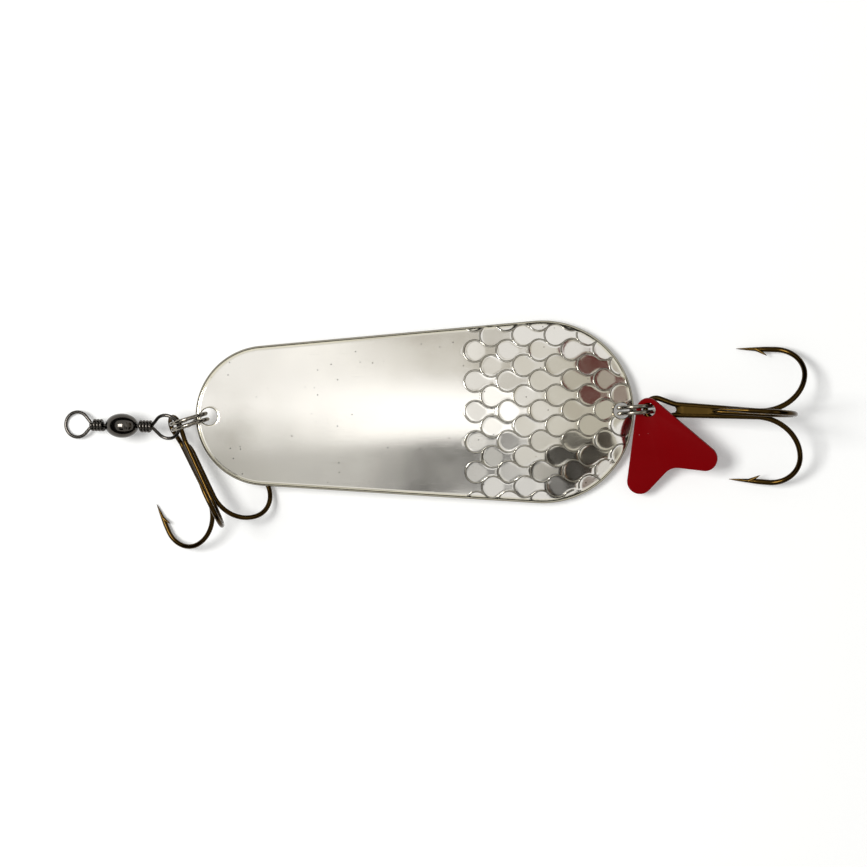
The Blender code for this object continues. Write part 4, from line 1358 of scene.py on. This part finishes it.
    def third_hook(self, sweep: WireSweep, finish: Material) -> Mesh:
        """Return the single hook with its barb, whose shank starts rounded in the groove.

        Args:
            sweep: Wire tree.
            finish: Material of the wire.

        Returns:
            The mesh.
        """
        upward = Vector((0, 0, 1))
        hook, shares = self.bend(Vector((0, 0, self.third_height)), upward)
        points = [Vector((self.third_start + run, 0, self.third_height - (1 - share) * self.wire * self.LEAD_SINK))
                  for run, share in self.LEAD]
        wire = sweep.wire(self.name, points + hook, self.wire, finish, [share for _, share in self.LEAD] + shares)
        return join([wire, self.barb(hook, upward)], f"{self.name}_third")

    def braze(self) -> Mesh:
        """Return the braze: a web between the legs that rises into the groove under the third wire."""
        length = self.shank * self.braze_end_share - self.throat
        points = []
        for index in range(self.braze_sections + 1):
            share = index / self.braze_sections
            x = self.throat - self.braze_front * self.wire + length * share
            along = min(1.0, max(0.0, (x - self.throat) / (self.shank - self.throat)))
            leg = self.spread + (self.close - self.spread) * along
            full = min(1.0, share * self.BRAZE_START_PARTS) * min(1.0, (1 - share) * self.BRAZE_END_PARTS)
            tall = self.braze_height * self.wire * (self.BRAZE_LEAST + (1 - self.BRAZE_LEAST) * full)
            climb = min(1.0, max(0.0, (x - self.third_start + self.BRAZE_LEAD) / self.BRAZE_CLIMB))
            crest = tall + (self.third_height - tall) * climb * full
            shoulder = self.braze_shoulder * self.wire * (1 - self.BRAZE_SINK_SHARE * climb)
            ridge = min(leg, self.braze_ridge * self.wire + self.BRAZE_FLARE * (1 - climb))
            bow = self.braze_bow * self.wire * max(0.0, 1 - share * self.BRAZE_HOLLOW_PARTS)
            part = bow * (1 - (ridge / leg) ** 2)
            flank = crest * self.BRAZE_FLANK_SHARE + tall * (1 - self.BRAZE_FLANK_SHARE)
            points += [(x, -leg, -tall), (x + bow, 0, -tall * self.BRAZE_FLANK_SHARE), (x, leg, -tall),
                       (x, leg, shoulder), (x + part, ridge, flank), (x + bow, 0, crest),
                       (x + part, -ridge, flank), (x, -leg, shoulder)]
        return tube(f"{self.name}_braze_web", points, self.BRAZE_CORNERS)

    def build(self, sweep: WireSweep) -> None:
        """Build and dress the three pieces with the wire tree."""
        swing = turned(joint_place(f"{self.name}_swing"), self.roll_degrees, self.pitch_degrees, self.yaw_degrees)
        place = swing @ Matrix.Translation((self.pull, 0, 0))
        finish = HOOK_BRONZE.material()
        for part, mesh in (("double", self.double_hook(sweep, finish)), ("third", self.third_hook(sweep, finish))):
            show(f"{self.name}_{part}_wire", mesh, place, [finish], self.body,
                 [f"{self.name}_{part}_hook"])
        show(f"{self.name}_braze_web", self.braze(), place, [HOOK_BRAZE.material()], self.body,
             [f"{self.name}_braze"], self.BRAZE_SHARP_DEGREES)


@dataclass
class FishTailTag:
    """Punched plastic tag in the outline of a fish's tail, with a faint crease beside its hole."""

    thickness: float = 0.8
    top_radius: float = 2.7
    lobe_radius: float = 2.9
    lobe_reach: float = 15.0
    lobe_spread: float = 8.0
    notch_reach: float = 14.7
    notch_radius: float = 3.8
    hole: float = 3.37
    side_shift: float = -0.6
    yaw_degrees: float = -68.6
    droop_degrees: float = 10.0
    bank_degrees: float = 15.0
    edge_round: float = 0.14
    edge_degrees: float = 50.0
    edge_segments: int = 3
    crease_side: float = -3.0
    crease_degrees: float = 4.0
    arc_steps: int = 24
    hole_points: int = 48
    sharp_degrees: float = 30.0

    def outline(self) -> list[Vector]:
        """Return the outline as arcs joined by their common tangents."""
        circles = [(Vector(), self.top_radius),
                   (Vector((self.lobe_reach, -self.lobe_spread, 0)), self.lobe_radius),
                   (Vector((self.notch_reach + self.notch_radius, 0, 0)), -self.notch_radius),
                   (Vector((self.lobe_reach, self.lobe_spread, 0)), self.lobe_radius)]
        normals = []
        for index, (centre, radius) in enumerate(circles):
            other, other_radius = circles[(index + 1) % len(circles)]
            line = other - centre
            normals.append(math.atan2(line.y, line.x) - math.acos((radius - other_radius) / line.length))
        outline = []
        for index, (centre, radius) in enumerate(circles):
            start = normals[index - 1]
            sweep = (normals[index] - start) % TURN - (TURN if radius < 0 else 0)
            outline += arc(centre, radius, start, start + sweep, self.arc_steps)
        return outline

    def plate(self) -> Mesh:
        """Return the pierced plate with its crease and rounded edges."""
        shape = bmesh.new()
        last = self.hole_points - 1
        edges = []
        for loop in (self.outline(), arc(Vector(), self.hole / 2, 0, TURN * last / self.hole_points, last)):
            corners = [shape.verts.new(place) for place in loop]
            edges += [shape.edges.new((corners[k - 1], corners[k])) for k in range(len(corners))]
        bmesh.ops.triangle_fill(shape, edges=edges, use_beauty=True, use_dissolve=False)
        bmesh.ops.bisect_plane(shape, geom=shape.verts[:] + shape.edges[:] + shape.faces[:],
                               plane_co=(0, self.crease_side, 0), plane_no=(0, 1, 0))
        for corner in shape.verts:
            corner.co.z += max(0.0, self.crease_side - corner.co.y) * math.tan(math.radians(self.crease_degrees))
        bmesh.ops.recalc_face_normals(shape, faces=shape.faces)
        mesh = bpy.data.meshes.new("tail_tag_plate")
        shape.to_mesh(mesh)
        shape.free()
        carrier = linked("tail_tag_plate", mesh)
        sheet = carrier.modifiers.new("sheet", "SOLIDIFY")
        sheet.thickness = self.thickness
        sheet.offset = 0
        edge = carrier.modifiers.new("edge", "BEVEL")
        edge.width = self.edge_round
        edge.segments = self.edge_segments
        edge.limit_method = "ANGLE"
        edge.angle_limit = math.radians(self.edge_degrees)
        return baked(carrier)

    def build(self) -> None:
        """Build and dress the tag."""
        swing = turned(joint_place("tail_tag_swing"), self.bank_degrees, -self.droop_degrees, self.yaw_degrees)
        place = swing @ Matrix.Translation((0, self.side_shift, 0))
        show("tail_tag_plate", self.plate(), place, [TAG_RED.material()], Body.TAG, ["tail_tag"],
             self.sharp_degrees)


def bare_material(name: str) -> tuple[Material, Tree]:
    """Return a new material without a shader, and its tree."""
    material = bpy.data.materials.new(name)
    material.use_nodes = True
    material.node_tree.nodes.clear()
    return material, material.node_tree


def panel(name: str, corners: Sequence, material: Material) -> bpy.types.Object:
    """Return a new four-cornered object of the studio in one material."""
    mesh = mesh_of(name, corners, [(0, 1, 2, 3)])
    mesh.materials.append(material)
    return linked(name, mesh)


@dataclass(frozen=True)
class Card:
    """Level soft-edged card over the lure that metal reflects and the camera doesn't see.

    Attributes:
        name: Card name.
        low: Least x and y in metres.
        high: Greatest x and y in metres.
        height: Height over the table in metres.
        soft: Width of the fading borders along x and y in metres.
        code: Colour.
        strength: Brightness of the colour.
        lights: Whether it also lights matt surfaces.
    """

    name: str
    low: tuple[float, float]
    high: tuple[float, float]
    height: float
    soft: tuple[float, float]
    code: str
    strength: float = 1.0
    lights: bool = False

    def cover(self, tree: Tree) -> Socket:
        """Return how much of the card there is at each place, fading at its borders."""
        place = add_node(tree, "ShaderNodeTexCoord").outputs["Object"]
        split = add_node(tree, "ShaderNodeSeparateXYZ", {0: place})
        shares = []
        for axis in (0, 1):
            half = (self.high[axis] - self.low[axis]) / 2
            aside = feed(tree, "ShaderNodeMath", {0: split.outputs[axis], 1: self.low[axis] + half},
                         operation="SUBTRACT")
            away = feed(tree, "ShaderNodeMath", {0: aside}, operation="ABSOLUTE")
            shares.append(ramp(tree, away, (half - self.soft[axis], half), (1.0, 0.0),
                               interpolation_type="SMOOTHERSTEP"))
        return feed(tree, "ShaderNodeMath", {0: shares[0], 1: shares[1]}, operation="MULTIPLY")

    def build(self) -> None:
        """Hang the card."""
        (left, front), (right, back) = self.low, self.high
        corners = ((left, front), (left, back), (right, back), (right, front))
        material, tree = bare_material(self.name)
        clear = feed(tree, "ShaderNodeBsdfTransparent")
        glow = feed(tree, "ShaderNodeEmission", {"Color": linear(self.code), "Strength": self.strength})
        mixed = feed(tree, "ShaderNodeMixShader", {0: self.cover(tree), 1: clear, 2: glow})
        add_node(tree, "ShaderNodeOutputMaterial", {"Surface": mixed})
        card = panel(self.name, [(*corner, self.height) for corner in corners], material)
        card.visible_camera = False
        card.visible_diffuse = self.lights
        card.visible_shadow = False


# The strip and the cards whose reflections shade the blade from head to tail
CARDS = (
    Card("bright_strip", (-0.10, -0.42), (0.11, 0.42), 1.35, (0.08, 0.36), "#FFFFFF", 1.7, lights=True),
    Card("bright_card_head", (-0.088, -0.40), (0.002, 0.95), 1.30, (0.040, 0.15), "#FFFFFF", 1.6),
    Card("grey_card_front", (-0.16, -0.66), (0.03, -0.04), 0.78, (0.06, 0.26), "#EFEFED"),
    Card("grey_card_head", (-0.20, -0.62), (-0.040, 0.08), 0.74, (0.03, 0.18), "#BFBEB9"),
    Card("dark_card_front", (-0.027, -0.66), (0.070, -0.10), 0.75, (0.034, 0.12), "#0C0C0B"),
    Card("beige_card_back", (-0.032, 0.12), (0.095, 0.76), 0.75, (0.05, 0.20), "#BBB6A9"),
    Card("pale_card_tail", (0.08, -0.70), (0.90, 0.70), 1.02, (0.14, 0.10), "#EAE8E1"),
    Card("beige_card_tail", (0.24, -0.70), (0.90, 0.70), 1.0, (0.16, 0.10), "#C8C4B6"),
    Card("brown_card_tail", (0.24, -0.92), (0.62, -0.24), 0.95, (0.03, 0.05), "#17120B"),
    Card("amber_card_tail", (0.47, -0.95), (0.62, -0.36), 0.94, (0.05, 0.08), "#6A4620"),
    # Painted reflection of the red tag in the tail's scales
    Card("red_card_tail", (0.44, 0.08), (0.64, 0.75), 0.95, (0.02, 0.05), "#5A0503"),
    Card("dark_card_side", (-0.85, -1.00), (-0.30, -0.45), 1.0, (0.05, 0.05), "#1C1A17"),
)


def seen_white(tree: Tree, plain: Socket, white: Socket) -> Socket:
    """Show a white shader to the camera, to reflections and through glass, and a plain one to the rest.

    Args:
        tree: World or material tree.
        plain: Shader that lights the lure.
        white: Shader that is seen.

    Returns:
        Mixed shader socket.
    """
    path = add_node(tree, "ShaderNodeLightPath")
    seen = path.outputs["Is Camera Ray"]
    for kind in ("Is Glossy Ray", "Is Transmission Ray"):
        seen = feed(tree, "ShaderNodeMath", {0: seen, 1: path.outputs[kind]}, operation="MAXIMUM")
    return feed(tree, "ShaderNodeMixShader", {0: seen, 1: plain, 2: white})


@dataclass
class Studio:
    """White table under a white dome, with a side soft box, cards over the blade, flags and the camera."""

    floor_size: float = 3.0
    floor_lift: float = 0.17
    dome_strength: float = 0.36
    camera_height: float = 1.25
    camera_roll_degrees: float = -0.8
    centre_x: float = -0.44
    centre_y: float = -0.06
    subject_height: float = 5.0
    sensor: float = 36.0
    box_place: tuple[float, float, float] = (-0.82, 0.12, 1.35)
    box_size: float = 0.6
    box_watts: float = 22.0
    flag_distance: float = 0.9
    flag_width: float = 1.9
    flag_foot: float = 0.02
    flag_height: float = 0.62

    def build_world(self) -> None:
        """Make the dome: a plain soft light that is seen as white."""
        world = bpy.data.worlds.new("studio_dome")
        world.use_nodes = True
        tree = world.node_tree
        tree.nodes.clear()
        dome = feed(tree, "ShaderNodeBackground", {"Color": WHITE, "Strength": self.dome_strength})
        white = feed(tree, "ShaderNodeBackground", {"Color": WHITE, "Strength": 1.0})
        add_node(tree, "ShaderNodeOutputWorld", {"Surface": seen_white(tree, dome, white)})
        bpy.context.scene.world = world

    def build_floor(self) -> None:
        """Make the table: matt white, lifted to white where it is seen so that only the shadow shows."""
        half = self.floor_size / 2
        # Painted board without any gloss
        material, tree = bare_material("matt_white_board")
        board = feed(tree, "ShaderNodeBsdfDiffuse", {"Color": linear("#F2F2F0")})
        lift = feed(tree, "ShaderNodeEmission", {"Color": WHITE, "Strength": self.floor_lift})
        both = feed(tree, "ShaderNodeAddShader", {0: board, 1: lift})
        add_node(tree, "ShaderNodeOutputMaterial", {"Surface": seen_white(tree, board, both)})
        table = panel("table", [(-half, -half, 0), (half, -half, 0), (half, half, 0), (-half, half, 0)], material)

    def build_flag(self, name: str, direction_degrees: float) -> None:
        """Stand a dark upright flag on the table that gives wires and edges their dark outlines.

        Args:
            name: Flag name.
            direction_degrees: Direction from the lure, from +X towards +Y.
        """
        half = self.flag_width / 2
        corners = ((-half, self.flag_foot), (half, self.flag_foot), (half, self.flag_height),
                   (-half, self.flag_height))
        # Black velvet, which takes up nearly all light
        material = bpy.data.materials.new("black_velvet_flag")
        material.use_nodes = True
        shader = material.node_tree.nodes["Principled BSDF"]
        shader.inputs["Base Color"].default_value = linear("#1C1A17")
        shader.inputs["Roughness"].default_value = 1.0
        flag = panel(name, [(self.flag_distance, across, up) for across, up in corners], material)
        flag.data.transform(Matrix.Rotation(math.radians(direction_degrees), 4, "Z"))
        flag.visible_camera = False
        flag.visible_diffuse = False
        flag.visible_shadow = False

    def build_lamp(self) -> None:
        """Hang the soft box over the head's side, where the flat blade doesn't mirror it."""
        lamp = bpy.data.lights.new("soft_box", "AREA")
        lamp.shape = "RECTANGLE"
        lamp.size = lamp.size_y = self.box_size
        lamp.energy = self.box_watts
        holder = linked("soft_box", lamp)
        holder.location = self.box_place
        holder.visible_camera = False

    def build_camera(self) -> None:
        """Look straight down with a long lens, framed as the photograph."""
        lens = bpy.data.cameras.new("camera")
        lens.type = "PERSP"
        lens.sensor_width = self.sensor
        reach = self.camera_height - self.subject_height * MM
        lens.lens = self.sensor * reach / (IMAGE_PIXELS * PIXEL_MM * MM)
        holder = linked("camera", lens)
        holder.location = (self.centre_x * MM, self.centre_y * MM, self.camera_height)
        holder.rotation_euler = (0, 0, math.radians(self.camera_roll_degrees))
        bpy.context.scene.camera = holder

    def build(self) -> None:
        """Build the whole studio."""
        self.build_world()
        self.build_floor()
        for card in CARDS:
            card.build()
        for name, direction in (("flag_right", 0.0), ("flag_back", 90.0), ("flag_left", 180.0),
                                ("flag_front", 270.0)):
            self.build_flag(name, direction)
        self.build_lamp()
        self.build_camera()
        bpy.context.scene.view_settings.view_transform = "Standard"


def main() -> None:
    """Build the studio and every sub-assembly of the lure."""
    logging.basicConfig(level=logging.INFO, format="%(message)s")
    Studio().build()
    sweep = WireSweep()
    blade = Blade()
    blade.build()
    SplitRing("front_split_ring", Body.FRONT_RING, -47.6, 196.6, 198.0, 250.0).build(sweep, blade)
    SplitRing("tail_split_ring", Body.TAIL_RING, 46.6, 2.8, 200.0, 270.0).build(sweep, blade)
    Swivel().build(sweep)
    TrebleHook("front_treble", Body.FRONT_TREBLE, wire=1.10, eye_radius=2.185, shank=18.1, lower_bend=8.0,
               upper_bend=5.7, point=7.1, roll_degrees=-119.2, pitch_degrees=6.7, yaw_degrees=-65.2,
               third_start_share=0.03).build(sweep)
    TrebleHook("tail_treble", Body.TAIL_TREBLE, wire=1.25, eye_radius=2.41, shank=23.3, lower_bend=9.7,
               upper_bend=7.1, point=9.4, roll_degrees=-1.7, pitch_degrees=10.0, yaw_degrees=-3.8,
               third_start_share=0.45, pull=0.4).build(sweep)
    FishTailTag().build()


if __name__ == "__main__":
    main()
